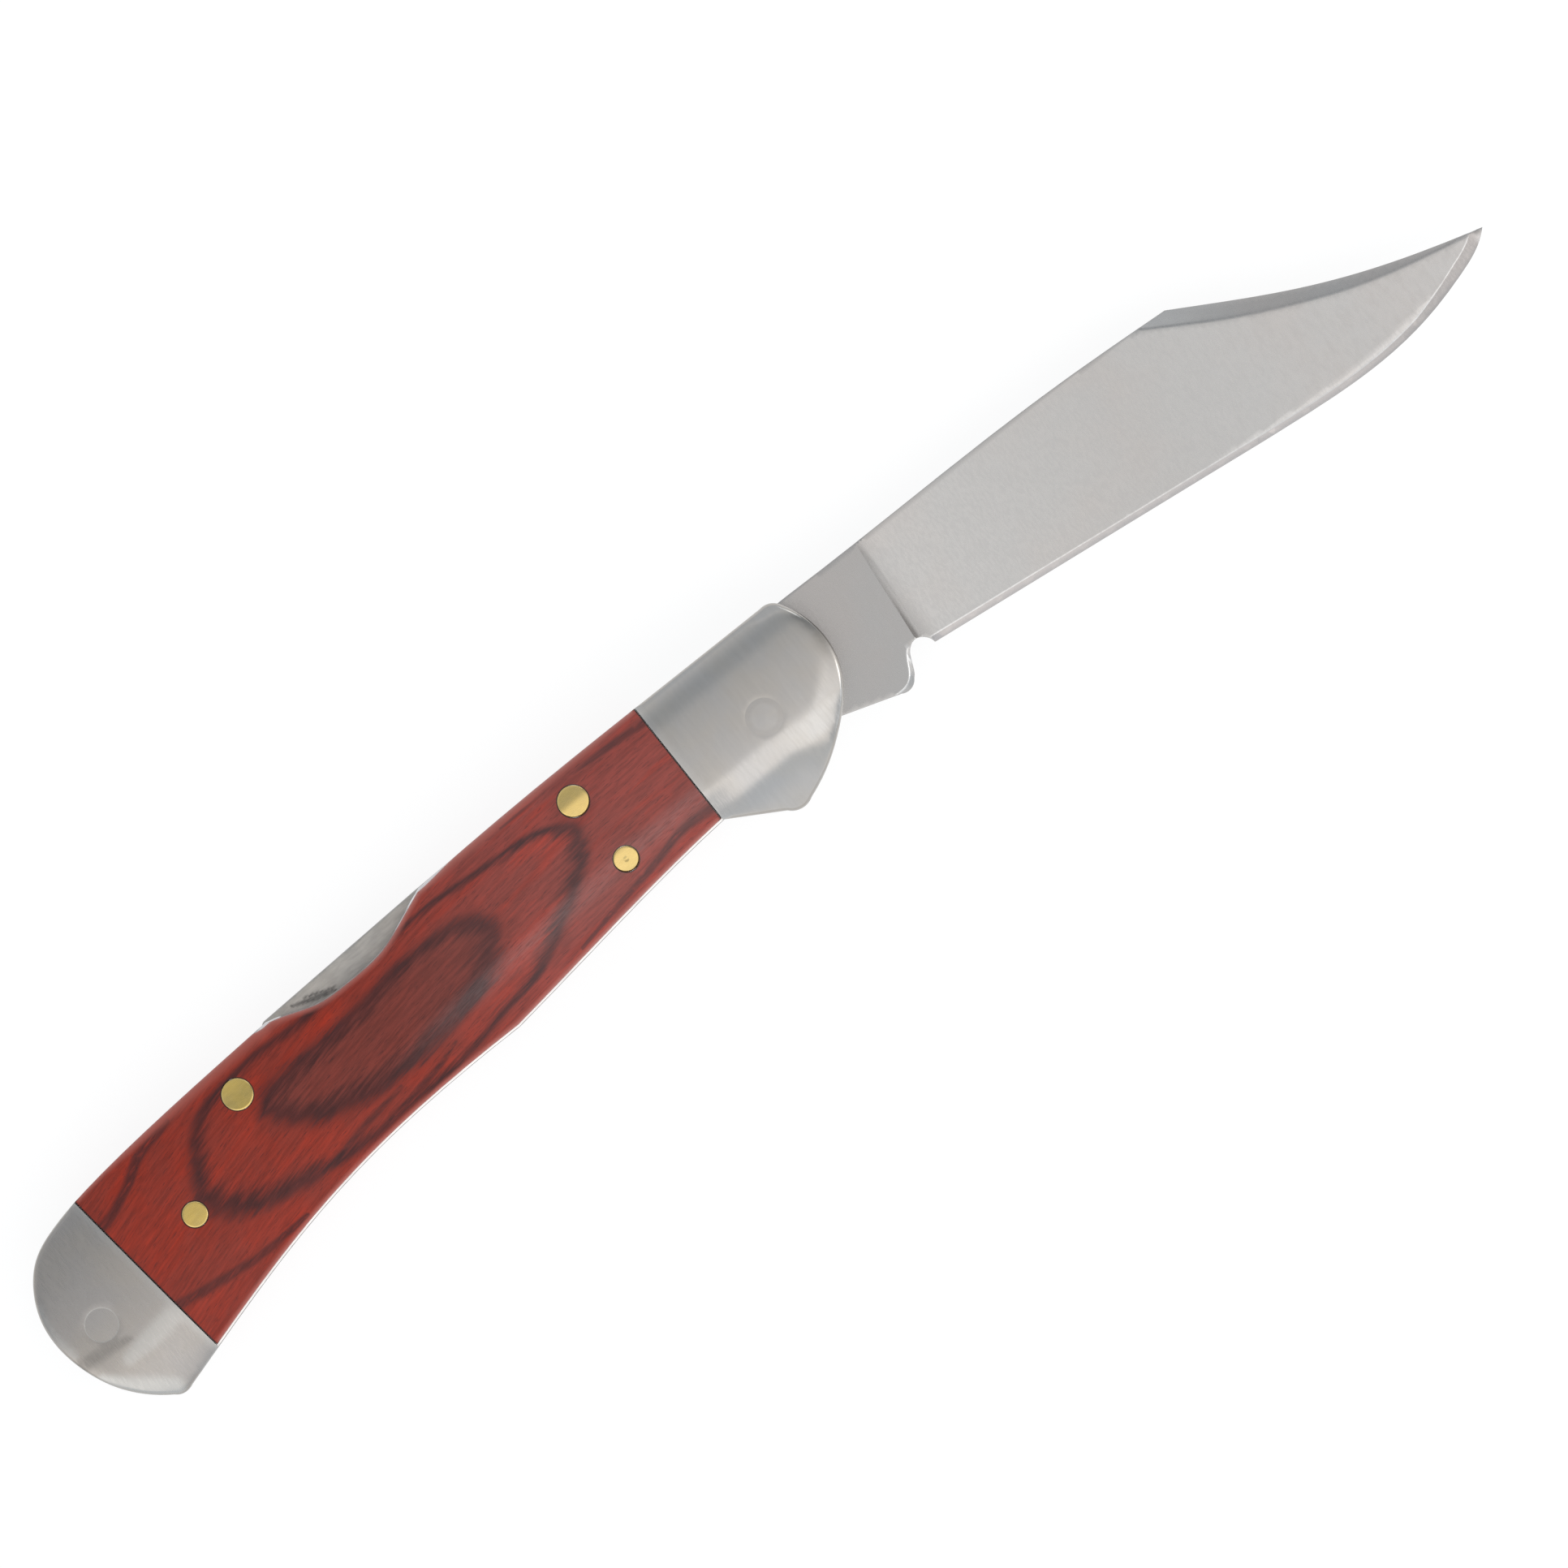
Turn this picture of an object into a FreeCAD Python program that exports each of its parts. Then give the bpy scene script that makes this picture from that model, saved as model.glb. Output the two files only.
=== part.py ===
import FreeCAD, Part
import math
import os

os.makedirs("parts", exist_ok=True)

Vector = FreeCAD.Vector
ORIGIN = Vector(0, 0, 0)
UP = Vector(0, 0, 1)

# A mid-back lock folding knife, shown open. Lengths are millimetres and angles are degrees.
# The origin lies on the blade's pivot axis, at the resting face of the mark side.
# +X runs to the blade's tip, +Y to the handle's back and +Z through the stack to the pile side.

# Thickness of the layers, from a resting face inwards
slab_thickness = 3.8
liner_thickness = 1.0
blade_thickness = 2.6
side_clearance = 0.05

# Crown of the bolsters and scales: a flat strip that follows an arc, with rounded shoulders
crown_flat_width = 7.0
crown_shoulder_radius = 11.0
crown_shoulder_angle = 35.0
crown_half_width = 13.0
crown_arc_radius = 576.0
crown_apex = (5.0, 1.8)

# Joints between the scales and the bolsters
front_joint_x = -9.35
rear_joint = (-80.9, -5.0)
rear_joint_lean = 6.5
seam = 0.08
wood_inset = 0.25

# Pins and rivets
pivot_shank_diameter = 3.2
pivot_head_diameter = 3.7
pivot_head_depth = 0.8
lock_pin = (-19.67, 5.14)
spacer_pin = (-63.02, 3.18)
through_pin_diameter = 3.14
rear_pin = (-87.32, -6.16)
rear_pin_diameter = 3.2
front_rivet = (-19.12, -2.46)
rear_rivet = (-73.52, -3.41)
rivet_diameter = 2.54
pin_clearance = 0.02
running_clearance = 0.04

# Handle outline: the back and butt, the belly in two stretches, then the front bolster
back_line = [(6.2, 8.5), (-4, 8.5), (-14, 8.5), (-26, 8.34), (-36, 7.96), (-47, 7.47), (-58, 6.87),
             (-70, 6.13), (-79, 5.26), (-85.2, 4.1)]
butt_line = [(-88.5, 2.68), (-90.6, 0.36), (-91.7, -2.1), (-92.05, -4.7), (-91.6, -7.95),
             (-90, -11.8), (-88, -14.28), (-86, -15.9)]
butt_corner = (-85.15, -16.36)
rear_belly = [(-84.1, -16.2), (-76, -13.83), (-66, -11.28), (-56, -9.62), (-47, -8.94), (-37.4, -8.8)]
front_belly = [(-37.4, -8.8), (-30, -7.82), (-20, -6.48), (-9.25, -5.4)]
bolster_heel = [(-3.9, -8.55), (-2.5, -9.28), (-1.2, -8.97)]
bolster_front = [(-1.2, -8.97), (2, -7.52), (5, -5.43), (7.9, -2.5), (9.3, 0.5), (9.5, 3.4), (8.1, 7.5)]
bolster_shoulder = (7.45, 8.24)

# Thumb scallop in the back of the scales and liners
scallop_line = [(-57.3, 6.93), (-54.7, 6.28), (-51.5, 5.2), (-47.6, 4.96), (-43.5, 5.28),
                (-40, 6.48), (-36.2, 7.97)]
scallop_liner_lip = 0.15

# Blade outline
spine_line = [(9, 7.87), (22, 7.76), (34, 7.74), (44, 7.45), (50, 7.09), (55.2, 6.72)]
clip_line = [(55.2, 6.72), (60, 3.95), (66, 0.68), (72, -2.06), (78, -4.25), (84.5, -6.2)]
edge_line = [(84.5, -6.2), (83, -7.33), (80, -8.51), (76, -9.56), (72, -10.18), (67.5, -10.36),
             (60, -9.86), (48, -8.41), (34, -6.67), (17.6, -4.64)]
choil_line = [(17.6, -4.64), (17.05, -3.6), (16.2, -3.22), (15.3, -3.62), (14.6, -4.8), (13.8, -6.15)]
kick_round = [(13.8, -6.15), (12.95, -6.75), (11.9, -6.57)]
tang_radius = 5.5
tang_under_angle = -45.5

# Blade grinds, as half thicknesses measured from the blade's middle plane
flank_top_margin = 0.6
flank_half_at_tip = 1.05
flank_half_at_heel = 0.06
flank_half_at_belly = 0.24
plunge_x = 17.6
plunge_lean = 1.2
edge_half = 0.03
edge_bevel_angle = 17.0
swedge_widths = [1.4, 1.5, 1.7, 1.55, 1.25, 0.7, 0.15]
swedge_run_back = 4.0
swedge_root_half = 1.1
swedge_point_half = 0.38
swedge_top_half = 0.3
kick_chamfer_widths = [0.3, 0.42, 0.5, 0.55, 0.24, 0.16, 0.14]
kick_chamfer_angle = 40.0
kick_chamfer_stations = [0.4, 0.8]
kick_chamfer_overrun = 0.2
grind_overrun = 1.0

# Nail nick on the mark side
nick_x = 38.0
nick_y = 5.2
nick_height = 1.1
nick_cutter_radius = 16.0
nick_depth = 0.55

# Lock: the bar's tooth drops into the tang's notch, and the blade folds by fold_angle
fold_angle = 171.0
lock_angle = 1.4
tooth_rear_x = -2.4
tooth_front_x = 0.6
tooth_lift = 0.08
notch_clearance = 0.05
bar_nose_height = 7.9
bar_back = [(-5, 8.36), (-12, 8.43), (-20, 8.4), (-30, 8.18), (-37.5, 7.98)]
bar_tail_height = 7.15
bar_tail_round = 0.7
bar_rear_depth = 3.3
bar_boss_diameter = 5.7
kick_gap = 0.35
kick_land = 1.8
bar_relief_run = 5.0
tooth_height = 1.3

# Spacer and spring
spacer_nose = 5.3
tail_gap = 0.5
edge_room = 0.45
tip_swing = 40.0
spring_thickness = 0.7
spring_side_clearance = 0.15
spring_seat_depth = 2.6
spring_root_drop = 1.0
spring_reach = 13.2
spring_contact_gap = 0.03

# Stack heights and the reach of the cutting blocks
slot_width = blade_thickness + 2 * side_clearance
slot_low = slab_thickness + liner_thickness
slot_high = slot_low + slot_width
stack_height = slot_high + liner_thickness + slab_thickness
middle = stack_height / 2
blade_low = middle - blade_thickness / 2
blade_high = middle + blade_thickness / 2
far = 3 * crown_arc_radius


def point(at, z=0.0):
    """A 3-D point from a flat one."""
    return Vector(at[0], at[1], z)


def line(start, end, z=0.0):
    """A straight edge."""
    return Part.LineSegment(point(start, z), point(end, z)).toShape()


def arc(start, through, end):
    """A circular edge through three points."""
    return Part.Arc(point(start), point(through), point(end)).toShape()


def spline(points):
    """A smooth edge through flat points."""
    curve = Part.BSplineCurve()
    curve.interpolate(Points=[point(at) for at in points])
    return curve.toShape()


def prism(edges, low, high):
    """A solid of the closed outline between two heights."""
    face = Part.Face(Part.Wire(Part.__sortEdges__(edges)))
    face.translate(Vector(0, 0, low))
    return face.extrude(Vector(0, 0, high - low))


def polygon_prism(points, low, high):
    """A solid of a straight-sided outline between two heights."""
    edges = [line(points[i - 1], points[i]) for i in range(len(points))]
    return prism(edges, low, high)


def cylinder(at, diameter, low, high):
    """An upright cylinder."""
    return Part.makeCylinder(diameter / 2, high - low, point(at, low), UP)


def moved(shape, dx, dy, dz=0.0):
    """A copy of the shape, shifted."""
    copy = shape.copy()
    copy.translate(Vector(dx, dy, dz))
    return copy


def mirrored(shape):
    """A copy of the shape on the other side of the stack's middle plane."""
    return shape.mirror(Vector(0, 0, middle), UP)


def turned(at, centre, angle):
    """A flat point turned about a centre, counter-clockwise."""
    spin = math.radians(angle)
    dx = at[0] - centre[0]
    dy = at[1] - centre[1]
    return (centre[0] + dx * math.cos(spin) - dy * math.sin(spin),
            centre[1] + dx * math.sin(spin) + dy * math.cos(spin))


def on_circle(radius, angle):
    """The flat point of a circle about the pivot."""
    spin = math.radians(angle)
    return (radius * math.cos(spin), radius * math.sin(spin))


def height_on_circle(radius, x):
    """The upper height of a circle about the pivot."""
    return math.sqrt(radius ** 2 - x ** 2)


def between(start, end, share):
    """A value part of the way from start to end."""
    return start + (end - start) * share


def side_points(points, distance):
    """The points moved square to the line through them, to its left where distance is positive."""
    shifted = []
    for i in range(len(points)):
        before = points[max(i - 1, 0)]
        after = points[min(i + 1, len(points) - 1)]
        run = math.hypot(after[0] - before[0], after[1] - before[1])
        across = (-(after[1] - before[1]) / run, (after[0] - before[0]) / run)
        shifted.append((points[i][0] + across[0] * distance, points[i][1] + across[1] * distance))
    return shifted


def solid_edge(points, halves):
    """A smooth edge through flat points, each at its half thickness above the blade's middle plane."""
    curve = Part.BSplineCurve()
    curve.interpolate(Points=[point(at, middle + half) for at, half in zip(points, halves)])
    return curve.toShape()


def grind_cutter(first, second, lean=0.0):
    """What a grinding belt takes off the pile side, above the ruled surface between two edges."""
    face = Part.makeRuledSurface(first, second)
    return face.extrude(Vector(-lean * blade_thickness, 0, blade_thickness))


def both_sides(blade, cutter):
    """The blade with the cutter taken off its two sides."""
    return blade.cut(cutter).cut(mirrored(cutter))


# Handle outline and regions

def handle_edges():
    """The closed outline of the handle."""
    return [spline(back_line + butt_line),
            arc(butt_line[-1], butt_corner, rear_belly[0]),
            spline(rear_belly),
            spline(front_belly),
            line(front_belly[-1], bolster_heel[0]),
            arc(*bolster_heel),
            spline(bolster_front),
            arc(bolster_front[-1], bolster_shoulder, back_line[0])]


def crown_solid():
    """The crowned envelope of the whole stack, flat along an arc and rounded to its sides."""
    flat = crown_flat_width / 2
    bend = math.radians(crown_shoulder_angle)
    shoulder = flat + crown_shoulder_radius * math.sin(bend)
    shoulder_drop = crown_shoulder_radius * (1 - math.cos(bend))
    mid_shoulder = flat + crown_shoulder_radius * math.sin(bend / 2)
    mid_drop = crown_shoulder_radius * (1 - math.cos(bend / 2))
    edge_drop = shoulder_drop + (crown_half_width - shoulder) * math.tan(bend)

    def at(offset, z):
        return Vector(crown_apex[0], crown_apex[1] + offset, z)

    def straight(start, end):
        return Part.LineSegment(at(*start), at(*end)).toShape()

    def round_shoulder(side, base, grow):
        return Part.Arc(at(side * flat, base), at(side * mid_shoulder, base + grow * mid_drop),
                        at(side * shoulder, base + grow * shoulder_drop)).toShape()

    edges = []
    for base, grow in ((0.0, 1), (stack_height, -1)):
        edges.append(straight((-flat, base), (flat, base)))
        for side in (-1, 1):
            edges.append(round_shoulder(side, base, grow))
            edges.append(straight((side * shoulder, base + grow * shoulder_drop),
                                  (side * crown_half_width, base + grow * edge_drop)))
    for side in (-1, 1):
        edges.append(straight((side * crown_half_width, edge_drop),
                              (side * crown_half_width, stack_height - edge_drop)))
    profile = Part.Face(Part.Wire(Part.__sortEdges__(edges)))
    centre = Vector(crown_apex[0], crown_apex[1] - crown_arc_radius, 0)
    reach = 2 * crown_half_width
    front_turn = math.degrees((bolster_front[-1][0] - crown_apex[0] + reach) / crown_arc_radius)
    rear_turn = math.degrees((crown_apex[0] - min(butt_line)[0] + reach) / crown_arc_radius)
    profile.rotate(centre, UP, -front_turn)
    return profile.revolve(centre, UP, front_turn + rear_turn)


def rear_joint_point(height):
    """The point of the rear joint line at a height."""
    return (rear_joint[0] - (height - rear_joint[1]) * math.tan(math.radians(rear_joint_lean)), height)


def scallop_prism(lip):
    """The thumb scallop's cutter, from its line up past the back."""
    lifted = [(at[0], at[1] + lip) for at in scallop_line]
    top = 2 * lifted[-1][1]
    edges = [spline(lifted),
             line(lifted[-1], (lifted[-1][0], top)),
             line((lifted[-1][0], top), (lifted[0][0], top)),
             line((lifted[0][0], top), lifted[0])]
    return prism(edges, 0, stack_height)


handle = prism(handle_edges(), 0, stack_height)
crown = crown_solid()
handle_crowned = handle.common(crown)
rear_low = rear_joint_point(-crown_arc_radius)
rear_high = rear_joint_point(crown_arc_radius)
ahead_of_front = polygon_prism([(front_joint_x, -far), (far, -far), (far, far), (front_joint_x, far)],
                               0, slab_thickness)
behind_rear = polygon_prism([rear_low, rear_high, (-far, far), (-far, -far)], 0, slab_thickness)
wood_front = front_joint_x - seam
wood_rear = seam / math.cos(math.radians(rear_joint_lean))
wood_region = polygon_prism([(rear_low[0] + wood_rear, rear_low[1]), (wood_front, rear_low[1]),
                             (wood_front, rear_high[1]), (rear_high[0] + wood_rear, rear_high[1])],
                            0, slab_thickness)


# Pins, and the holes that take them

def flush_pin(at, diameter, low, high):
    """A pin whose outer ends are dressed flush with the crown."""
    return cylinder(at, diameter, low, high).common(crown)


def pin_hole(at, diameter):
    """The hole for a fixed pin, right through the stack."""
    return cylinder(at, diameter + 2 * pin_clearance, 0, stack_height)


def pivot_shape(growth):
    """The pivot's shank with a flared head at each face, grown all round by a clearance."""
    shank = pivot_shank_diameter / 2 + growth
    head = pivot_head_diameter / 2 + growth
    low_head = Part.makeCone(head, shank, pivot_head_depth, ORIGIN, UP)
    return cylinder((0, 0), 2 * shank, 0, stack_height).fuse(low_head).fuse(mirrored(low_head)).removeSplitter()


pivot_pin = pivot_shape(0)
pivot_hole = pivot_shape(pin_clearance)
lock_bar_pin = flush_pin(lock_pin, through_pin_diameter, 0, stack_height)
spacer_through_pin = flush_pin(spacer_pin, through_pin_diameter, 0, stack_height)
rear_bolster_pin = flush_pin(rear_pin, rear_pin_diameter, 0, stack_height)
front_rivet_mark = flush_pin(front_rivet, rivet_diameter, 0, slot_low)
rear_rivet_mark = flush_pin(rear_rivet, rivet_diameter, 0, slot_low)
pin_holes = [pivot_hole,
             pin_hole(lock_pin, through_pin_diameter),
             pin_hole(spacer_pin, through_pin_diameter),
             pin_hole(rear_pin, rear_pin_diameter),
             pin_hole(front_rivet, rivet_diameter),
             pin_hole(rear_rivet, rivet_diameter)]


# Mark-side slabs and liner; the pile side is their mirror image

front_bolster_mark = handle_crowned.common(ahead_of_front).cut(pin_holes)
rear_bolster_mark = handle_crowned.common(behind_rear).cut(pin_holes)
wood = moved(handle, 0, -wood_inset).common(moved(handle, 0, wood_inset)).common(crown)
scale_mark = wood.common(wood_region).cut(scallop_prism(0)).cut(pin_holes)
liner_mark = prism(handle_edges(), slab_thickness, slot_low).cut(scallop_prism(scallop_liner_lip)).cut(pin_holes)


# Lock bar: boss on its pin, tooth at its nose, tail under the scallop

tooth_radius = tang_radius + tooth_lift
tooth_rear = (tooth_rear_x, height_on_circle(tooth_radius, tooth_rear_x))
tooth_front = (tooth_front_x, height_on_circle(tooth_radius, tooth_front_x))
tooth_middle_x = (tooth_rear_x + tooth_front_x) / 2
tooth_middle = (tooth_middle_x, height_on_circle(tooth_radius, tooth_middle_x))
nose_top = (tooth_front_x, bar_nose_height)
spacer_front_x = spacer_pin[0] + spacer_nose
bar_tail_x = spacer_front_x + tail_gap
bar_tail_top = (bar_tail_x + bar_tail_round, bar_tail_height)
tail_bottom_y = bar_tail_height - bar_rear_depth
belly_front = (lock_pin[0] - bar_boss_diameter / 2, bar_back[-1][1] - bar_rear_depth)


def lock_bar_shape():
    """The lock bar, open and lifted just clear of the tang."""
    low = slot_low + side_clearance
    high = slot_high - side_clearance
    tail_upper = (bar_tail_x, bar_tail_top[1] - bar_tail_round)
    tail_lower = (bar_tail_x, tail_bottom_y + bar_tail_round)
    tail_under = (bar_tail_x + bar_tail_round, tail_bottom_y)
    chord = bar_tail_round * (1 - math.sqrt(0.5))
    tail_mid_high = (bar_tail_x + chord, bar_tail_top[1] - chord)
    tail_mid_low = (bar_tail_x + chord, tail_bottom_y + chord)
    closed_kick = turned(kick_round[1], (0, 0), -fold_angle)
    kick_height = closed_kick[1] + kick_gap
    kick_front_x = closed_kick[0] + kick_land
    relief_height = tooth_rear[1] + tooth_height
    kick_rear = (lock_pin[0] + bar_boss_diameter / 4, kick_height)
    kick_front = (kick_front_x, kick_height)
    relief_rear = (kick_front_x + bar_relief_run, relief_height)
    relief_front = (tooth_rear_x, relief_height)
    edges = [spline([nose_top] + bar_back),
             line(bar_back[-1], bar_tail_top),
             arc(bar_tail_top, tail_mid_high, tail_upper),
             line(tail_upper, tail_lower),
             arc(tail_lower, tail_mid_low, tail_under),
             line(tail_under, belly_front),
             line(belly_front, kick_rear),
             line(kick_rear, kick_front),
             line(kick_front, relief_rear),
             line(relief_rear, relief_front),
             line(relief_front, tooth_rear),
             arc(tooth_rear, tooth_middle, tooth_front),
             line(tooth_front, nose_top)]
    bar = prism(edges, low, high).fuse(cylinder(lock_pin, bar_boss_diameter, low, high)).removeSplitter()
    bore = cylinder(lock_pin, through_pin_diameter + 2 * running_clearance, low, high)
    return bar.cut(bore)


lock_bar = lock_bar_shape()


# Blade: outline, lock notch, closed rest, bore, grinds and nail nick

def notch_prism():
    """Room for the seated tooth in the top of the tang, up past the shoulder that it bears on."""
    rear = turned(tooth_rear, lock_pin, -lock_angle)
    front = turned(tooth_front, lock_pin, -lock_angle)
    top = turned(nose_top, lock_pin, -lock_angle)
    roof = 2 * top[1]
    shoulder_run = (top[0] - front[0]) / (top[1] - front[1])
    roof_x = top[0] + notch_clearance + shoulder_run * (roof - top[1])
    return polygon_prism([(rear[0] - notch_clearance, rear[1] - notch_clearance),
                          (front[0] + notch_clearance, front[1] - notch_clearance),
                          (roof_x, roof),
                          (rear[0] - notch_clearance, roof)], blade_low, blade_high)


def closed_rest_prism():
    """The flat on the tang that the seated tooth lies over when the blade is closed."""
    rear = turned(tooth_rear, lock_pin, -lock_angle)
    front = turned(tooth_front, lock_pin, -lock_angle)
    aim = math.degrees(math.atan2(tooth_middle[1], tooth_middle[0]))
    depth = min(turned(rear, (0, 0), -aim)[0], turned(front, (0, 0), -aim)[0]) - notch_clearance
    half = math.sqrt(tang_radius ** 2 - depth ** 2)
    block = polygon_prism([(depth, -half), (2 * tang_radius, -half), (2 * tang_radius, half), (depth, half)],
                          blade_low, blade_high)
    block.rotate(ORIGIN, UP, aim + fold_angle)
    return block


def blade_blank():
    """The blade's outline at full thickness."""
    shoulder_low = (tooth_front_x, height_on_circle(tang_radius, tooth_front_x))
    shoulder_high = (tooth_front_x, spine_line[0][1])
    under = on_circle(tang_radius, tang_under_angle)
    edges = [line(shoulder_low, shoulder_high),
             line(shoulder_high, spine_line[0]),
             spline(spine_line),
             spline(clip_line),
             spline(edge_line),
             spline(choil_line),
             arc(*kick_round),
             line(kick_round[-1], under),
             arc(under, on_circle(tang_radius, 180), shoulder_low)]
    return prism(edges, blade_low, blade_high)


def flank_cutter():
    """The main flat grind, from the spine to behind the edge."""
    outer = side_points(list(reversed(edge_line)), -grind_overrun)
    outer[0] = (plunge_x, edge_line[-1][1] - grind_overrun)
    last = len(outer) - 1
    halves = [between(flank_half_at_heel, flank_half_at_belly, min(2 * i / last, 1)) for i in range(last + 1)]
    end_x = clip_line[-1][0] + 2 * blade_thickness
    top_y = spine_line[0][1] + flank_top_margin
    outer.append((end_x, outer[-1][1]))
    halves.append(halves[-1])
    tops = [(between(plunge_x, end_x, i / (last + 1)), top_y) for i in range(last + 2)]
    top_halves = [between(blade_thickness / 2, flank_half_at_tip, i / (last + 1)) for i in range(last + 2)]
    return grind_cutter(solid_edge(tops, top_halves), solid_edge(outer, halves), plunge_lean)


def edge_cutter():
    """The cutting edge's bevel."""
    slope = math.tan(math.radians(edge_bevel_angle))
    stations = len(edge_line)
    roots = [edge_half + slope * grind_overrun] * stations
    return bevel_cutter(edge_line, [grind_overrun] * stations, roots, [edge_half] * stations, grind_overrun)


def bevel_cutter(outline, widths, root_halves, outer_halves, overrun):
    """A bevel along an outline whose blade lies to its right, as wide as the widths at its points."""
    inner = []
    outer = []
    low_halves = []
    high_halves = []
    for i, width in enumerate(widths):
        slope = (root_halves[i] - outer_halves[i]) / width
        inner.append(side_points(outline, -width - overrun)[i])
        outer.append(side_points(outline, overrun)[i])
        high_halves.append(root_halves[i] + slope * overrun)
        low_halves.append(outer_halves[i] - slope * overrun)
    return grind_cutter(solid_edge(inner, high_halves), solid_edge(outer, low_halves))


def swedge_cutter():
    """The false edge ground along the clip, from a little behind its corner."""
    run = math.hypot(clip_line[1][0] - clip_line[0][0], clip_line[1][1] - clip_line[0][1])
    share = -swedge_run_back / run
    behind = (between(clip_line[0][0], clip_line[1][0], share), between(clip_line[0][1], clip_line[1][1], share))
    last = len(clip_line)
    roots = [between(swedge_root_half, swedge_point_half, i / last) for i in range(last + 1)]
    tops = [swedge_top_half] * (last + 1)
    return bevel_cutter([behind] + clip_line, swedge_widths, roots, tops, grind_overrun)


def kick_cutter():
    """The chamfer round the face of the kick, from the choil to under the bolsters."""
    under = on_circle(tang_radius, tang_under_angle)
    path = choil_line[3:] + kick_round[1:]
    for share in kick_chamfer_stations:
        path.append((between(kick_round[-1][0], under[0], share), between(kick_round[-1][1], under[1], share)))
    slope = math.tan(math.radians(kick_chamfer_angle))
    roots = [blade_thickness / 2] * len(kick_chamfer_widths)
    outers = [blade_thickness / 2 - slope * width for width in kick_chamfer_widths]
    return bevel_cutter(path, kick_chamfer_widths, roots, outers, kick_chamfer_overrun)


def nick_cutter():
    """A bevelled disc that sinks a crescent into the mark side, below the spine."""
    centre = Vector(nick_x, nick_y, blade_low + nick_depth - nick_cutter_radius)
    return Part.makeCone(nick_cutter_radius - nick_depth, nick_cutter_radius, nick_height, centre, Vector(0, 1, 0))


blade = blade_blank().cut([notch_prism(), closed_rest_prism()])
blade = both_sides(blade, flank_cutter())
blade = both_sides(blade, edge_cutter())
blade = both_sides(blade, swedge_cutter())
blade = both_sides(blade, kick_cutter())
blade = blade.cut(nick_cutter())
blade = blade.cut(cylinder((0, 0), pivot_shank_diameter + 2 * running_clearance, blade_low, blade_high))


# Spacer behind the lock bar, and the leaf spring that lifts the bar's tail

def spring_edges(growth):
    """The leaf's outline, from its seat in the spacer to the tip, grown all round by a clearance."""
    seat_x = spacer_front_x - spring_seat_depth - growth
    root_y = tail_bottom_y - spring_root_drop
    tip_x = spacer_front_x + spring_reach
    share = (tip_x - bar_tail_x) / (belly_front[0] - bar_tail_x)
    tip_y = between(tail_bottom_y, belly_front[1], share) - spring_contact_gap
    upper = [(seat_x, root_y + growth), (spacer_front_x, root_y + growth), (tip_x, tip_y + growth)]
    lower = [(at[0], at[1] - spring_thickness - 2 * growth) for at in upper]
    return [spline(upper), line(upper[-1], lower[-1]), spline(lower), line(lower[0], upper[0])]


def blade_room():
    """The space that the closed blade and its swinging tip need."""
    closed = [turned(at, (0, 0), -fold_angle) for at in edge_line]
    lifted = [(at[0], at[1] + edge_room) for at in closed]
    reach = math.hypot(*edge_line[0]) + edge_room
    tip_angle = math.degrees(math.atan2(lifted[0][1], lifted[0][0]))
    arc_start = on_circle(reach, tip_angle)
    arc_end = on_circle(reach, tip_angle + tip_swing)
    edges = [spline(lifted),
             line(lifted[0], arc_start),
             arc(arc_start, on_circle(reach, tip_angle + tip_swing / 2), arc_end),
             line(arc_end, (lifted[-1][0], arc_end[1])),
             line((lifted[-1][0], arc_end[1]), lifted[-1])]
    return prism(edges, slot_low, slot_high)


spacer_region = polygon_prism([(spacer_front_x, -far), (spacer_front_x, far), (-far, far), (-far, -far)],
                              slot_low, slot_high)
spring_low = slot_low + spring_side_clearance
spring_high = slot_high - spring_side_clearance
lock_spring = prism(spring_edges(0), spring_low, spring_high)
spring_seat = prism(spring_edges(pin_clearance), slot_low, slot_high)
rear_spacer = handle.common(spacer_region).cut(blade_room()).cut(spring_seat).cut(pin_holes)


# Nodes

nodes = {"blade": blade,
         "pivot_pin": pivot_pin,
         "lock_bar": lock_bar,
         "lock_bar_pin": lock_bar_pin,
         "lock_spring": lock_spring,
         "rear_spacer": rear_spacer,
         "spacer_pin": spacer_through_pin,
         "rear_bolster_pin": rear_bolster_pin}
mark_side = {"front_bolster": front_bolster_mark,
             "rear_bolster": rear_bolster_mark,
             "scale": scale_mark,
             "liner": liner_mark,
             "scale_rivet_front": front_rivet_mark,
             "scale_rivet_rear": rear_rivet_mark}
for name, shape in mark_side.items():
    nodes[name + "_mark"] = shape
    nodes[name + "_pile"] = mirrored(shape)
for name, shape in nodes.items():
    shape.exportStep("parts/" + name + ".step")
    print(name, "solids", len(shape.Solids), "valid", shape.isValid(), "volume", round(shape.Volume, 1))
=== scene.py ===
import logging
import math
from collections.abc import Callable
from dataclasses import dataclass, field
from enum import Enum

import bmesh
import bpy
import numpy as np
from bpy.types import Material, Mesh, Node, NodeOutputs, NodeTree, Object, Scene
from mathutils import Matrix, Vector
from mathutils.bvhtree import BVHTree
from mathutils.geometry import delaunay_2d_cdt


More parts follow.
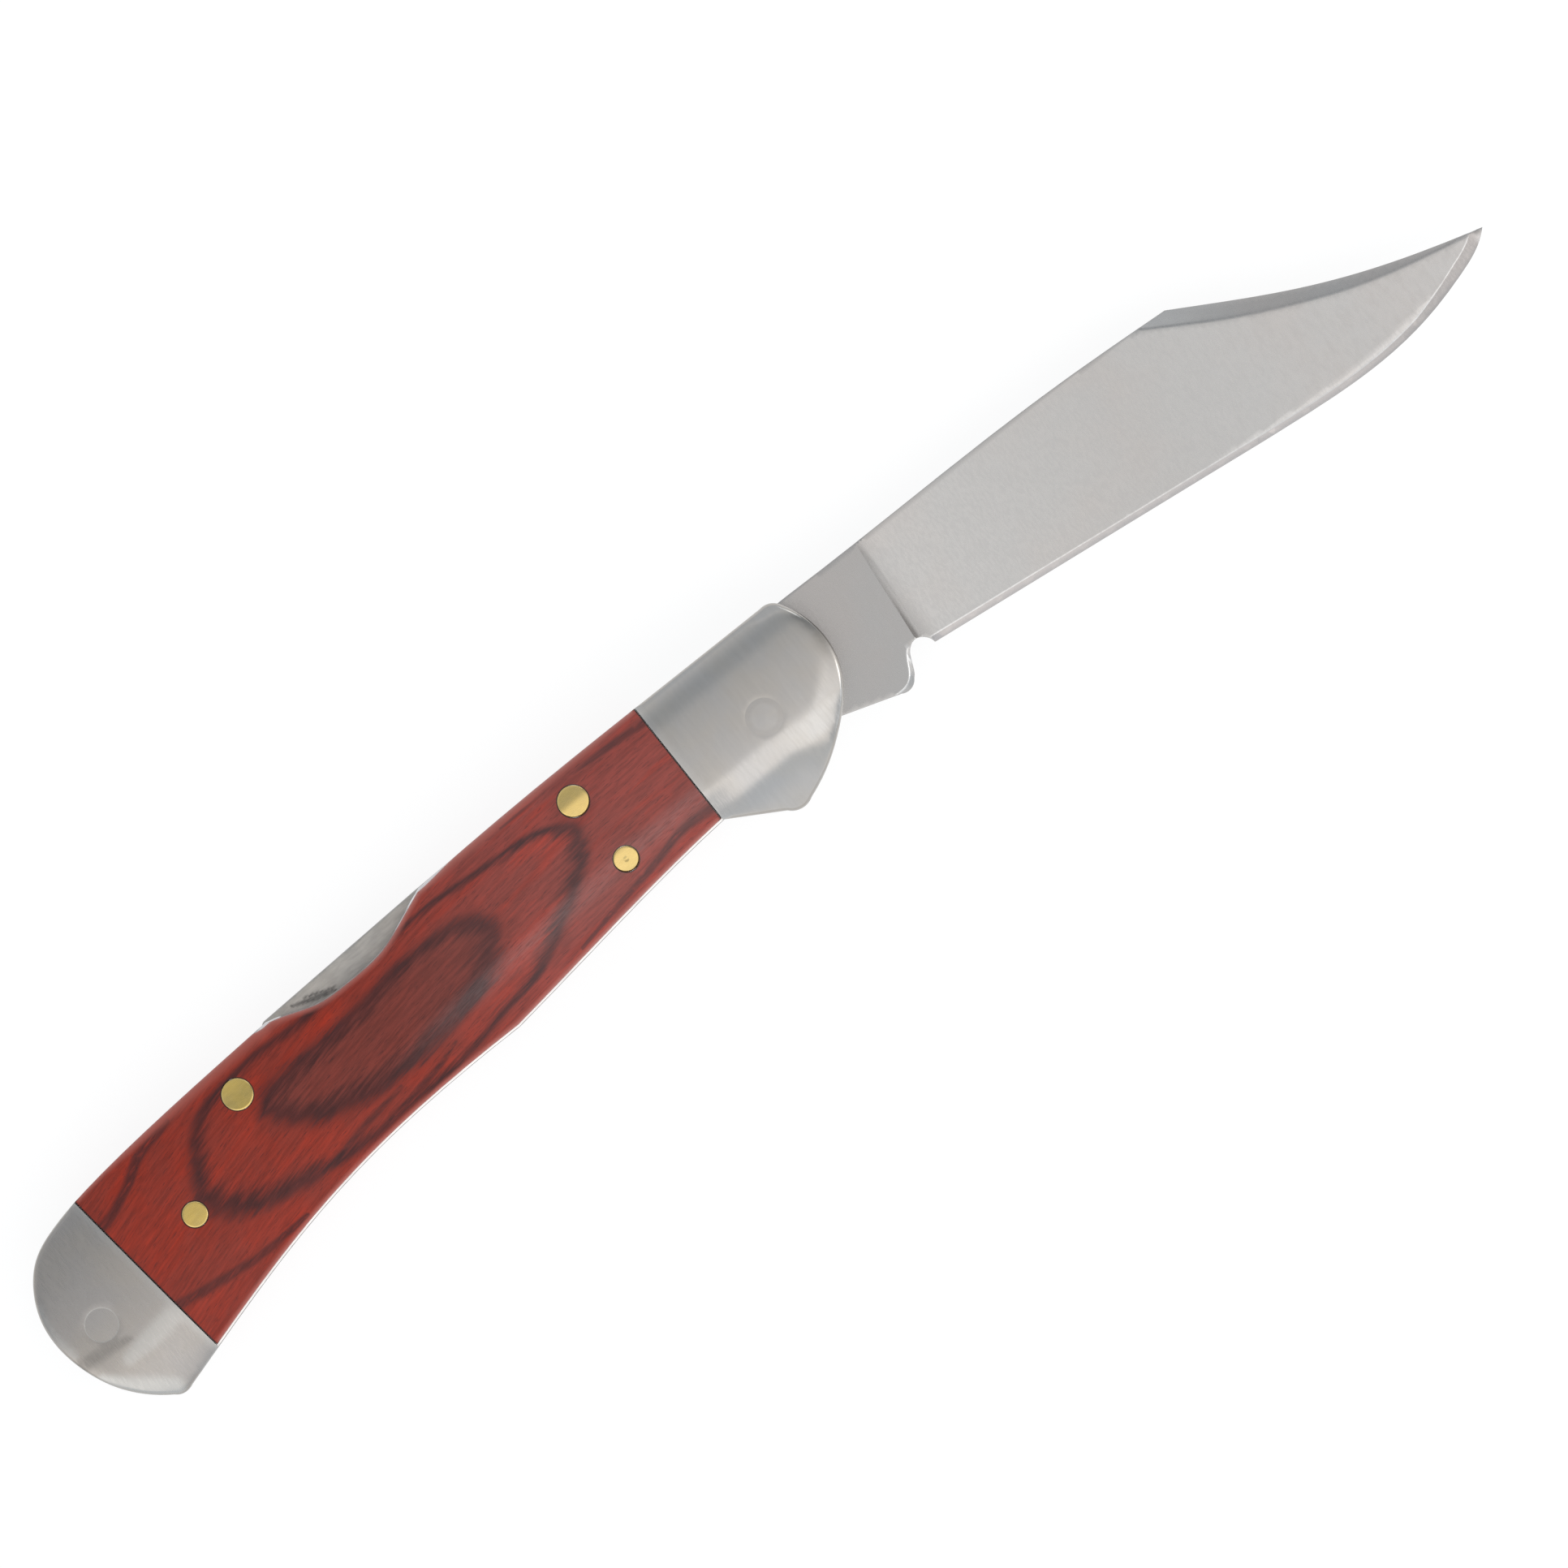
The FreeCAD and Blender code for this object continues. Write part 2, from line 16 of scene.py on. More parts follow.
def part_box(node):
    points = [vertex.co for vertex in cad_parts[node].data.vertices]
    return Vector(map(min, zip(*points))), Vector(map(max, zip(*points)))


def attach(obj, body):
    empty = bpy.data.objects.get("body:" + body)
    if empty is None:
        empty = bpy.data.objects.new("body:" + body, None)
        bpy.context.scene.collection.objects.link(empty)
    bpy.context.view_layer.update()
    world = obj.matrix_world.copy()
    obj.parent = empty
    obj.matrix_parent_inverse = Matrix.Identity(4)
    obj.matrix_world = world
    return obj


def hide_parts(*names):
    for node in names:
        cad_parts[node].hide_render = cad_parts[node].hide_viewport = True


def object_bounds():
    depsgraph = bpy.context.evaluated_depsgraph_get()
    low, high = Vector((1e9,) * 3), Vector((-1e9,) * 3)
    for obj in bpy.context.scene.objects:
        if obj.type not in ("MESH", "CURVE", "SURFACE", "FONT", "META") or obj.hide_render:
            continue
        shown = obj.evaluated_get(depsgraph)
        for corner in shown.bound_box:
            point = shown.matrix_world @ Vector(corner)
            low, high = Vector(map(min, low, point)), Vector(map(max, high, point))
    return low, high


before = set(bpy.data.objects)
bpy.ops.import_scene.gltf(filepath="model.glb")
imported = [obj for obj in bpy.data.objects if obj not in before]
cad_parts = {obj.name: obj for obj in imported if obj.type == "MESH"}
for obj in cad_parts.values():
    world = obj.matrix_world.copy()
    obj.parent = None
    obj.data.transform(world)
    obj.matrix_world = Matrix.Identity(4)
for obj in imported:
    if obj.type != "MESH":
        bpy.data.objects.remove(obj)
CAD_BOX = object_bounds()

# A lock-back folding knife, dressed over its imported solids. Shapes are worked out in millimetres in the
# frame's own axes: +X to the blade's tip, +Y to the handle's back, +Z from the mark side to the pile side.

log = logging.getLogger("knife")

MM = 0.001
MICROMETRE = MM / 1000

# How near points are welded, are taken as one, and are taken as lying on a straight run
WELD = 0.0001
SAME_POINT = 0.003
STRAIGHT = 0.0005
FAR = 9.0

# Rounded rims: the step along them, the rings across them, how far inside the outline heights are read, the
# share of its depth by which a ring stays clear, and the least lean for which a corner is mitred
RIM_STEP = 0.4
RIM_RINGS = 5
RIM_NUDGE = 0.004
RIM_CLEAR = 0.9
LEAST_LEAN = 0.5

# Points within a face: the height of a row of even triangles, and the clearance from the rim, in steps
ROW_HEIGHT = math.sqrt(0.75)
GRID_CLEAR = 0.4

# Creases: the rows of points beside them, and how far they stay from the rim and other points from them
CREASE_ROWS = (-1, -0.5, 0.5, 1)
CREASE_MARGIN = 0.08
CREASE_CLEAR = 0.3

PATCH_FADE = 0.7
FLAT = 0.9999
SHARP_ANGLE = math.radians(50)
CHUNK = 1500

# The values of a noise, and the colour sockets of a Mix node
NOISE_SPAN = (0.3, 0.7)
NOISE_MIDDLE = 0.5
MIX_SHARE = 0
MIX_FIRST = 6
MIX_SECOND = 7
MIX_RESULT = 2

# A span is a pair of limits. A ramp has two limits, and what is given at each. A table has places along the
# knife, and a value at each. A trace is a line of flat points, with a width at each.
Points = np.ndarray
Field = Callable[[Points], np.ndarray]
Socket = bpy.types.NodeSocket
Colour = tuple[float, float, float]
Span = tuple[float, float]
Ramp = tuple[float, float, float, float]
Table = tuple[tuple[float, float], ...]
Trace = tuple[tuple[float, float, float], ...]
Crease = tuple[Points, Points, float]


class Side(Enum):
    """The two faces of the handle: the pile side faces up at rest."""

    MARK = "mark"
    PILE = "pile"

    @property
    def sign(self) -> int:
        """The direction along Z in which this side faces."""
        return 1 if self is Side.PILE else -1


class Body(Enum):
    """The moving bodies of the frame."""

    HANDLE = "handle"
    BLADE = "blade"
    LOCK_BAR = "lock_bar"


# Flat geometry: loops keep the material on their left

def welded(node: str) -> bmesh.types.BMesh:
    """Make a welded copy of a CAD node's mesh.

    Args:
        node: The CAD node's name.

    Returns:
        The copy, in millimetres; the caller frees it.
    """
    solid = bmesh.new()
    solid.from_mesh(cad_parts[node].data)
    bmesh.ops.scale(solid, vec=(1 / MM, 1 / MM, 1 / MM), verts=solid.verts)
    bmesh.ops.remove_doubles(solid, verts=solid.verts, dist=WELD)
    solid.normal_update()
    return solid


def chained(edges: list[bmesh.types.BMEdge]) -> list[Points]:
    """String the edges of a section together.

    Args:
        edges: Edges that form closed loops.

    Returns:
        The flat points of each loop, in order.
    """
    links: dict[bmesh.types.BMVert, list[bmesh.types.BMVert]] = {}
    for edge in edges:
        first, second = edge.verts
        links.setdefault(first, []).append(second)
        links.setdefault(second, []).append(first)
    waiting = dict.fromkeys(links)
    loops = []
    while waiting:
        here = next(iter(waiting))
        chain = []
        while here is not None:
            waiting.pop(here)
            chain.append(here.co.xy[:])
            here = next((other for other in links[here] if other in waiting), None)
        loops.append(np.array(chain))
    return loops


def turn_area(loop: Points) -> float:
    """The signed area of a closed loop, positive where it runs counter-clockwise."""
    ahead = np.roll(loop, -1, axis=0)
    return float((loop[:, 0] * ahead[:, 1] - ahead[:, 0] * loop[:, 1]).sum() / 2)


def essential(loop: Points) -> Points:
    """Drop the points of a loop that lie on top of others or on straight runs.

    Args:
        loop: A closed loop.

    Returns:
        The loop with only the points that its shape needs.
    """
    loop = loop[np.hypot(*(loop - np.roll(loop, 1, axis=0)).T) > SAME_POINT]
    kept = [loop[0]]
    for point, after in zip(loop[1:], np.roll(loop, -1, axis=0)[1:]):
        chord = after - kept[-1]
        offset = point - kept[-1]
        if abs(chord[0] * offset[1] - chord[1] * offset[0]) > STRAIGHT * math.hypot(*chord):
            kept.append(point)
    return np.array(kept)


def stepped(line: Points, step: float, closed: bool = True) -> Points:
    """Divide the long runs of a line.

    Args:
        line: The line's points.
        step: The longest run to leave.
        closed: Whether the last point joins the first.

    Returns:
        The line with points added on its runs.
    """
    ends = np.roll(line, -1, axis=0) if closed else line[1:]
    parts = []
    for start, end in zip(line, ends):
        count = max(1, math.ceil(math.dist(start, end) / step))
        parts.append(start + (end - start) * (np.arange(count) / count)[:, None])
    if not closed:
        parts.append(line[-1:])
    return np.vstack(parts)


def curved(control: Trace, closed: bool, per_run: int = 10) -> Points:
    """Draw a smooth line through a few points.

    Args:
        control: The points that it passes through.
        closed: Whether it comes back to its start.
        per_run: How many steps each run is divided into.

    Returns:
        Points of a Catmull-Rom line.
    """
    knots = np.array(control, float)
    if closed:
        padded = np.vstack([knots[-1:], knots, knots[:2]])
    else:
        padded = np.vstack([2 * knots[:1] - knots[1:2], knots, 2 * knots[-1:] - knots[-2:-1]])
    share = (np.arange(per_run) / per_run)[:, None]
    runs = []
    for a, b, c, d in zip(padded, padded[1:], padded[2:], padded[3:]):
        square = 2 * a - 5 * b + 4 * c - d
        cube = 3 * (b - c) + d - a
        runs.append(b + 0.5 * share * (c - a + share * (square + share * cube)))
    if not closed:
        runs.append(knots[-1:])
    return np.vstack(runs)


def section(node: str, level: float) -> list[Points]:
    """Cut a CAD node at a level.

    Args:
        node: The CAD node's name.
        level: The height of the cut, in millimetres.

    Returns:
        The closed loops of the cut, outer ones counter-clockwise and holes clockwise.
    """
    solid = welded(node)
    whole = solid.verts[:] + solid.edges[:] + solid.faces[:]
    cut = bmesh.ops.bisect_plane(solid, geom=whole, plane_co=(0, 0, level), plane_no=(0, 0, 1))
    loops = chained([part for part in cut["geom_cut"] if isinstance(part, bmesh.types.BMEdge)])
    solid.free()
    loops.sort(key=lambda loop: -abs(turn_area(loop)))
    turned = []
    for rank, loop in enumerate(loops):
        forward = (turn_area(loop) > 0) == (rank == 0)
        turned.append(essential(loop if forward else loop[::-1]))
    return turned


def inside(points: Points, loops: list[Points]) -> np.ndarray:
    """Test which points lie in the material.

    Args:
        points: Flat points.
        loops: The closed loops round the material.

    Returns:
        True for each point that lies in it.
    """
    start = np.vstack(loops)
    end = np.vstack([np.roll(loop, -1, axis=0) for loop in loops])
    rise = end[:, 1] - start[:, 1]
    slope = (end[:, 0] - start[:, 0]) / np.where(rise == 0, 1, rise)
    found = []
    for low in range(0, len(points), CHUNK):
        x, y = points[low:low + CHUNK].T[:, :, None]
        straddles = (start[:, 1] > y) != (end[:, 1] > y)
        crosses = straddles & (x < start[:, 0] + (y - start[:, 1]) * slope)
        found.append(crosses.sum(axis=1) % 2 == 1)
    return np.concatenate(found)


def to_lines(points: Points, starts: Points, ends: Points) -> tuple[np.ndarray, np.ndarray, np.ndarray]:
    """Measure points against straight runs.

    Args:
        points: Flat points.
        starts: Where the runs start.
        ends: Where the runs end.

    Returns:
        Each point's distance to the nearest run, that run's number, and the share of the way along it.
    """
    runs = ends - starts
    squares = np.maximum((runs ** 2).sum(axis=1), WELD ** 2)
    answers = []
    for low in range(0, len(points), CHUNK):
        gaps = points[low:low + CHUNK, None] - starts
        shares = np.clip((gaps * runs).sum(axis=2) / squares, 0, 1)
        distances = np.hypot(*np.moveaxis(gaps - shares[..., None] * runs, 2, 0))
        nearest = distances.argmin(axis=1)
        row = np.arange(len(nearest))
        answers.append((distances[row, nearest], nearest, shares[row, nearest]))
    return tuple(np.concatenate(parts) for parts in zip(*answers))


def smooth_rise(values: np.ndarray, low: float, high: float) -> np.ndarray:
    """A share that eases from 0 at low to 1 at high."""
    share = np.clip((values - low) / (high - low), 0, 1)
    return share * share * (3 - 2 * share)


def read_off(table: Table, places: np.ndarray) -> np.ndarray:
    """Values at places along the knife, read between the rows of a table."""
    return np.interp(places, *zip(*table))


def soft_patch(points: Points, *lines: Trace) -> np.ndarray:
    """How far points lie within soft patches: marks, painted shade and painted highlights.

    Args:
        points: Flat points.
        lines: The patches' middle lines, with their half widths.

    Returns:
        1 in the middle of a patch, easing to 0 at its rim.
    """
    shares = []
    for line in lines:
        middle = curved(line, closed=False)
        reach, nearest, _ = to_lines(points, middle[:-1, :2], middle[1:, :2])
        shares.append(smooth_rise(1 - reach / middle[nearest, 2], 0.0, PATCH_FADE))
    return np.max(shares, axis=0)


# Plates: pieces that lie between two faces on one outline

@dataclass
class Face:
    """One face of a plate.

    Attributes:
        height: Its level at flat points.
        rounding: The radius of its rim at points of the outline.
        pitch: The spacing of points within it; zero leaves only those along the rim.
        roll_width: How far in from the rim the face starts to fall, at points of the outline.
        roll_slope: How steeply it falls at the rim.
        creases: Runs along which two grinds meet: the start, the end and how far to each side it is softened.
    """

    height: Field
    rounding: Field
    pitch: float = 0.0
    roll_width: Field | None = None
    roll_slope: float = 0.0
    creases: list[Crease] = field(default_factory=list)


@dataclass
class Skin:
    """The triangles of one face.

    Attributes:
        points: Its corners, in millimetres.
        triangles: Corner numbers, counter-clockwise seen from +Z.
        rim: The corner number of each point of the outline.
        margin: Each corner's distance from the rim.
    """

    points: Points
    triangles: np.ndarray
    rim: np.ndarray
    margin: np.ndarray


def even(value: float) -> Field:
    """One level or radius at all points."""
    return lambda points: np.full(len(points), value)


class Plate:
    """A piece between an upper and a lower face, with rounded rims and upright walls."""

    def __init__(self, loops: list[Points], step: float = RIM_STEP) -> None:
        """Take the outline.

        Args:
            loops: The outline's loops, with the material on their left.
            step: The longest run to leave along them.
        """
        self.loops = [stepped(loop, step) for loop in loops]
        self.starts = np.vstack(self.loops)
        self.ends = np.vstack([np.roll(loop, -1, axis=0) for loop in self.loops])
        ahead = self.ends - self.starts
        ahead /= np.hypot(*ahead.T)[:, None]
        behind = np.vstack([np.roll(part, 1, axis=0) for part in self._split(ahead)])
        mean = ahead + behind
        mean /= np.maximum(np.hypot(*mean.T), SAME_POINT)[:, None]
        lean = np.maximum((mean * ahead).sum(axis=1), LEAST_LEAN)
        self.inward = np.column_stack([-mean[:, 1], mean[:, 0]]) / lean[:, None]
        self.following = np.concatenate([np.roll(part, -1) for part in self._split(np.arange(len(ahead)))])

    def _split(self, values: np.ndarray) -> list[np.ndarray]:
        """Part values of the outline's points by loop."""
        return np.split(values, np.cumsum([len(loop) for loop in self.loops])[:-1])

    def _around(self, values: np.ndarray, nearest: np.ndarray, share: np.ndarray) -> np.ndarray:
        """Values of the outline's points, read between them."""
        return values[nearest] + (values[self.following[nearest]] - values[nearest]) * share

    def _rings(self, radii: np.ndarray) -> Points:
        """Points on the rounded rim, in from the outline."""
        rings = []
        for ring in range(1, RIM_RINGS + 1):
            depth = radii * (1 - math.cos(math.pi / 2 * ring / RIM_RINGS))
            shifted = self.starts + self.inward * depth[:, None]
            clear = to_lines(shifted, self.starts, self.ends)[0] > RIM_CLEAR * depth
            rings.append(shifted[clear & (depth > SAME_POINT / 2)])
        return np.vstack(rings)

    def _grid(self, pitch: float, margin: float) -> Points:
        """Evenly spaced points within the outline."""
        low = self.starts.min(axis=0)
        high = self.starts.max(axis=0)
        rows = np.arange(low[1], high[1], pitch * ROW_HEIGHT)
        columns = np.arange(low[0], high[0], pitch)
        x, y = np.meshgrid(columns, rows)
        x[1::2] += pitch / 2
        points = np.column_stack([x.ravel(), y.ravel()])
        points = points[inside(points, self.loops)]
        return points[to_lines(points, self.starts, self.ends)[0] > margin + GRID_CLEAR * pitch]

    def _crease_points(self, face: Face) -> tuple[Points, list[tuple[int, int]]]:
        """Points along the creases and beside them, and the runs between those along them."""
        along = []
        beside = []
        runs = []
        count = 0
        for start, end, width in face.creases:
            line = stepped(np.array([start, end]), face.pitch, closed=False)
            across = np.array([start[1] - end[1], end[0] - start[0]]) / math.dist(start, end)
            line = line[to_lines(line, self.starts, self.ends)[0] > CREASE_MARGIN]
            runs += [(count + i, count + i + 1) for i in range(len(line) - 1)]
            count += len(line)
            along.append(line)
            for side in CREASE_ROWS:
                beside.append(line + side * width * across)
        spread = np.vstack(beside)
        clear = to_lines(spread, self.starts, self.ends)[0] > CREASE_MARGIN
        return np.vstack(along + [spread[clear & inside(spread, self.loops)]]), runs

    def skin(self, face: Face, facing: int) -> Skin:
        """Cover the outline with one face.

        Args:
            face: The face to make.
            facing: 1 where it is the upper face, and -1 where it is the lower one.

        Returns:
            The face's triangles.
        """
        radii = face.rounding(self.starts)
        count = len(self.starts)
        points = [self.starts, self._rings(radii)]
        runs = list(zip(range(count), self.following.tolist()))
        if face.creases:
            extra, crease_runs = self._crease_points(face)
            shift = sum(map(len, points))
            runs += [(shift + a, shift + b) for a, b in crease_runs]
            points.append(extra)
        if face.pitch:
            grid = self._grid(face.pitch, float(radii.max()))
            if face.creases:
                starts, ends = (np.array([crease[end] for crease in face.creases]) for end in (0, 1))
                grid = grid[to_lines(grid, starts, ends)[0] > CREASE_CLEAR]
            points.append(grid)
        flat_points = [Vector(point) for point in np.vstack(points)]
        made, _, triangles, sources, _, _ = delaunay_2d_cdt(flat_points, runs, [], 0, WELD)
        made = np.array([point[:] for point in made])
        triangles = np.array(triangles)
        triangles = triangles[inside(made[triangles].mean(axis=1), self.loops)]
        rim = np.zeros(count, int)
        for number, source in enumerate(sources):
            for original in source:
                if original < count:
                    rim[original] = number
        margin, nearest, share = to_lines(made, self.starts, self.ends)
        probe = made.copy()
        probe[rim] += self.inward * RIM_NUDGE
        radius = self._around(radii, nearest, share)
        reach = np.clip(radius - margin, 0, radius)
        fall = radius - np.sqrt(radius ** 2 - reach ** 2)
        if face.roll_width is not None:
            width = np.maximum(self._around(face.roll_width(self.starts), nearest, share), SAME_POINT)
            fall += face.roll_slope * width / 2 * np.clip(1 - margin / width, 0, 1) ** 2
        level = face.height(probe) - facing * fall
        return Skin(np.column_stack([made, level]), triangles, rim, margin)

    def build(self, name: str, upper: Face, lower: Face) -> Object:
        """Make the plate.

        Args:
            name: The piece's name.
            upper: Its upper face.
            lower: Its lower face.

        Returns:
            The piece, with its distance from the rims in the attribute rim.
        """
        top = self.skin(upper, 1)
        bottom = self.skin(lower, -1)
        first_low = len(top.points)
        first_mid = first_low + len(bottom.points)
        middle = (top.points[top.rim] + bottom.points[bottom.rim]) / 2
        half_wall = (top.points[top.rim, 2] - bottom.points[bottom.rim, 2]) / 2
        points = np.vstack([top.points, bottom.points, middle])
        faces = top.triangles.tolist() + (bottom.triangles[:, ::-1] + first_low).tolist()
        mids = np.arange(len(middle)) + first_mid
        lows = bottom.rim + first_low
        after = self.following
        for under, over in ((lows, mids), (mids, top.rim)):
            faces += np.column_stack([under, under[after], over[after], over]).tolist()
        mesh = bpy.data.meshes.new(name)
        mesh.from_pydata((points * MM).tolist(), [], faces)
        mesh.shade_smooth()
        mesh.set_sharp_from_angle(angle=SHARP_ANGLE)
        margins = np.concatenate([top.margin, bottom.margin, half_wall])
        store(mesh, "rim", margins)
        return placed(name, mesh)


def store(mesh: Mesh, name: str, values: np.ndarray) -> None:
    """Keep a number for each corner of a mesh, as a named attribute."""
    attribute = mesh.attributes.new(name, "FLOAT", "POINT")
    attribute.data.foreach_set("value", values.astype(np.float32))


def corners(mesh: Mesh) -> Points:
    """The corners of a mesh, in millimetres."""
    flat_list = np.empty(len(mesh.vertices) * 3, np.float32)
    mesh.vertices.foreach_get("co", flat_list)
    return flat_list.reshape(-1, 3).astype(float) / MM


def placed(name: str, data: bpy.types.ID) -> Object:
    """Put a mesh or a camera into the scene, at the origin."""
    piece = bpy.data.objects.new(name, data)
    bpy.context.scene.collection.objects.link(piece)
    return piece


def dressed(piece: Object, body: Body, slot: str, material: Material, *nodes: str) -> None:
    """Finish a piece and hang it on its body.

    Args:
        piece: The piece.
        body: The body that it moves with.
        slot: The record's material slot; not used.
        material: Its finish.
        nodes: The CAD nodes that it stands for.
    """
    piece.data.materials.clear()
    piece.data.materials.append(material)
    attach(piece, body.value)
    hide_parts(*nodes)
    log.info("%s: %d faces on %s", piece.name, len(piece.data.polygons), body.value)


def middle_of(node: str) -> Points:
    """The flat point at the middle of a CAD node's box, in millimetres."""
    low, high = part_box(node)
    return np.array((low + high).xy) / 2 / MM


# Node trees

class Graph:
    """A node tree with short calls for adding nodes and linking them."""

    def __init__(self, tree: NodeTree) -> None:
        """Take the tree to work on."""
        self.tree = tree

    def feed(self, socket: Socket, value: object) -> None:
        """Link a socket to another, or set its value."""
        if isinstance(value, Socket):
            self.tree.links.new(value, socket)
        else:
            socket.default_value = value

    def add(self, kind: str, inputs: dict[str | int, object] | None = None, **settings: object) -> Node:
        """Add a node.

        Args:
            kind: The node's type.
            inputs: Values or sockets by input name or number.
            settings: The node's own properties.

        Returns:
            The node.
        """
        node = self.tree.nodes.new(kind)
        for name, value in settings.items():
            setattr(node, name, value)
        for key, value in (inputs or {}).items():
            self.feed(node.inputs[key], value)
        return node

    def math(self, operation: str, *values: object) -> Socket:
        """The result of a Math node."""
        return self.add("ShaderNodeMath", dict(enumerate(values)), operation=operation).outputs[0]

    def product(self, first: object, *others: object) -> Socket:
        """Two or more values multiplied together."""
        result = first
        for value in others:
            result = self.math("MULTIPLY", result, value)
        return result

    def length(self, x: Socket, y: Socket) -> Socket:
        """The length of a flat vector."""
        return self.math("SQRT", self.math("ADD", self.product(x, x), self.product(y, y)))

    def rise(self, value: object, low: object, high: object,
             start: object = 0.0, end: object = 1.0) -> Socket:
        """A value eased from start at low to end at high."""
        inputs = {"Value": value, "From Min": low, "From Max": high, "To Min": start, "To Max": end}
        return self.add("ShaderNodeMapRange", inputs, interpolation_type="SMOOTHSTEP").outputs[0]

    def blend(self, share: object, first: object, second: object) -> Socket:
        """A mix of two colours."""
        inputs = {MIX_SHARE: share, MIX_FIRST: first, MIX_SECOND: second}
        return self.add("ShaderNodeMix", inputs, data_type="RGBA").outputs[MIX_RESULT]

    def split(self, vector: Socket) -> NodeOutputs:
        """The three parts of a vector."""
        return self.add("ShaderNodeSeparateXYZ", {0: vector}).outputs

    def joined(self, x: object, y: object, z: object) -> Socket:
        """A vector of three parts."""
        return self.add("ShaderNodeCombineXYZ", {0: x, 1: y, 2: z}).outputs[0]

    def stretched(self, vector: object, scale: object) -> Socket:
        """A vector multiplied axis by axis."""
        return self.add("ShaderNodeVectorMath", {0: vector, 1: scale}, operation="MULTIPLY").outputs[0]

    def scaled(self, colour: object, share: object) -> Socket:
        """A colour made brighter or darker."""
        return self.add("ShaderNodeVectorMath", {0: colour, "Scale": share}, operation="SCALE").outputs[0]

    def noise(self, vector: object, scale: object, detail: float = 2.0, roughness: float = 0.5) -> Socket:
        """The value of a Noise Texture."""
        inputs = {"Vector": vector, "Scale": scale, "Detail": detail, "Roughness": roughness}
        return self.add("ShaderNodeTexNoise", inputs).outputs["Fac"]

    def group(self, tree: NodeTree, inputs: dict[str, object]) -> NodeOutputs:
        """The outputs of a node group with its inputs fed."""
        return self.add("ShaderNodeGroup", inputs, node_tree=tree).outputs

    def attribute(self, name: str) -> Socket:
        """A number kept on the mesh."""
        return self.add("ShaderNodeAttribute", attribute_name=name).outputs["Fac"]


def grey(value: float) -> tuple[float, float, float, float]:
    """An even colour."""
    return (value, value, value, 1.0)


def opaque(colour: Colour) -> tuple[float, float, float, float]:
    """A colour with its alpha."""
    return (*colour, 1.0)


class Effects:
    """Shader node groups that more than one finish uses.

    Attributes:
        fine_lines: How many fine lines lie across a coarse one.
        cloud_span: The noise values between which a soft patch fades in.
        wear_changes: How often rim wear changes its width, per millimetre.
        grain: Fine lines that run along one direction.
        clouds: Soft patches.
        rim_wear: Where rims are rubbed.
    """

    fine_lines: int = 3
    cloud_span: Span = (0.35, 0.65)
    wear_changes: float = 1.2

    def __init__(self) -> None:
        """Build the groups."""
        self.grain = self._grain()
        self.clouds = self._clouds()
        self.rim_wear = self._rim_wear()

    @staticmethod
    def _group(name: str, inputs: dict[str, tuple[str, object]],
               outputs: list[str]) -> tuple[Graph, object, object]:
        """Start a group with named sockets."""
        tree = bpy.data.node_groups.new(name, "ShaderNodeTree")
        for label, (kind, value) in inputs.items():
            socket = tree.interface.new_socket(label, in_out="INPUT", socket_type=kind)
            if value is not None:
                socket.default_value = value
        for label in outputs:
            tree.interface.new_socket(label, in_out="OUTPUT", socket_type="NodeSocketFloat")
        graph = Graph(tree)
        return graph, graph.add("NodeGroupInput").outputs, graph.add("NodeGroupOutput").inputs

    def _grain(self) -> NodeTree:
        """Fine lines that run along one direction, coarse and fine together."""
        graph, given, out = self._group("Fine Grain", {
            "Vector": ("NodeSocketVector", None),
            "Lines per mm": ("NodeSocketVector", (0.2, 6.0, 6.0)),
        }, ["Value", "Fine"])
        drawn = graph.stretched(given["Vector"], given["Lines per mm"])
        graph.feed(out["Value"], graph.noise(drawn, 1 / MM, detail=3.0, roughness=0.6))
        graph.feed(out["Fine"], graph.noise(drawn, self.fine_lines / MM))
        return graph.tree

    def _clouds(self) -> NodeTree:
        """Soft patches."""
        graph, given, out = self._group("Soft Clouds", {
            "Vector": ("NodeSocketVector", None),
            "Patches per mm": ("NodeSocketFloat", 0.1),
        }, ["Mask"])
        size = graph.product(given["Patches per mm"], 1 / MM)
        noise = graph.noise(given["Vector"], size, detail=3.0, roughness=0.55)
        graph.feed(out["Mask"], graph.rise(noise, *self.cloud_span))
        return graph.tree

    def _rim_wear(self) -> NodeTree:
        """Where rims are rubbed: full at the rim, gone at an uneven width from it."""
        graph, given, out = self._group("Rim Wear", {
            "Vector": ("NodeSocketVector", None),
            "Width mm": ("NodeSocketFloat", 0.2),
        }, ["Mask"])
        uneven = graph.noise(given["Vector"], self.wear_changes / MM, detail=3.0, roughness=0.6)
        width = graph.product(given["Width mm"], graph.math("ADD", uneven, NOISE_MIDDLE))
        graph.feed(out["Mask"], graph.rise(graph.attribute("rim"), 0.0, width, 1.0, 0.0))
        return graph.tree


def new_material(name: str) -> tuple[Material, Graph, Node]:
    """A new material, its graph, and its Principled BSDF."""
    material = bpy.data.materials.new(name)
    material.use_nodes = True
    graph = Graph(material.node_tree)
    return material, graph, material.node_tree.nodes["Principled BSDF"]


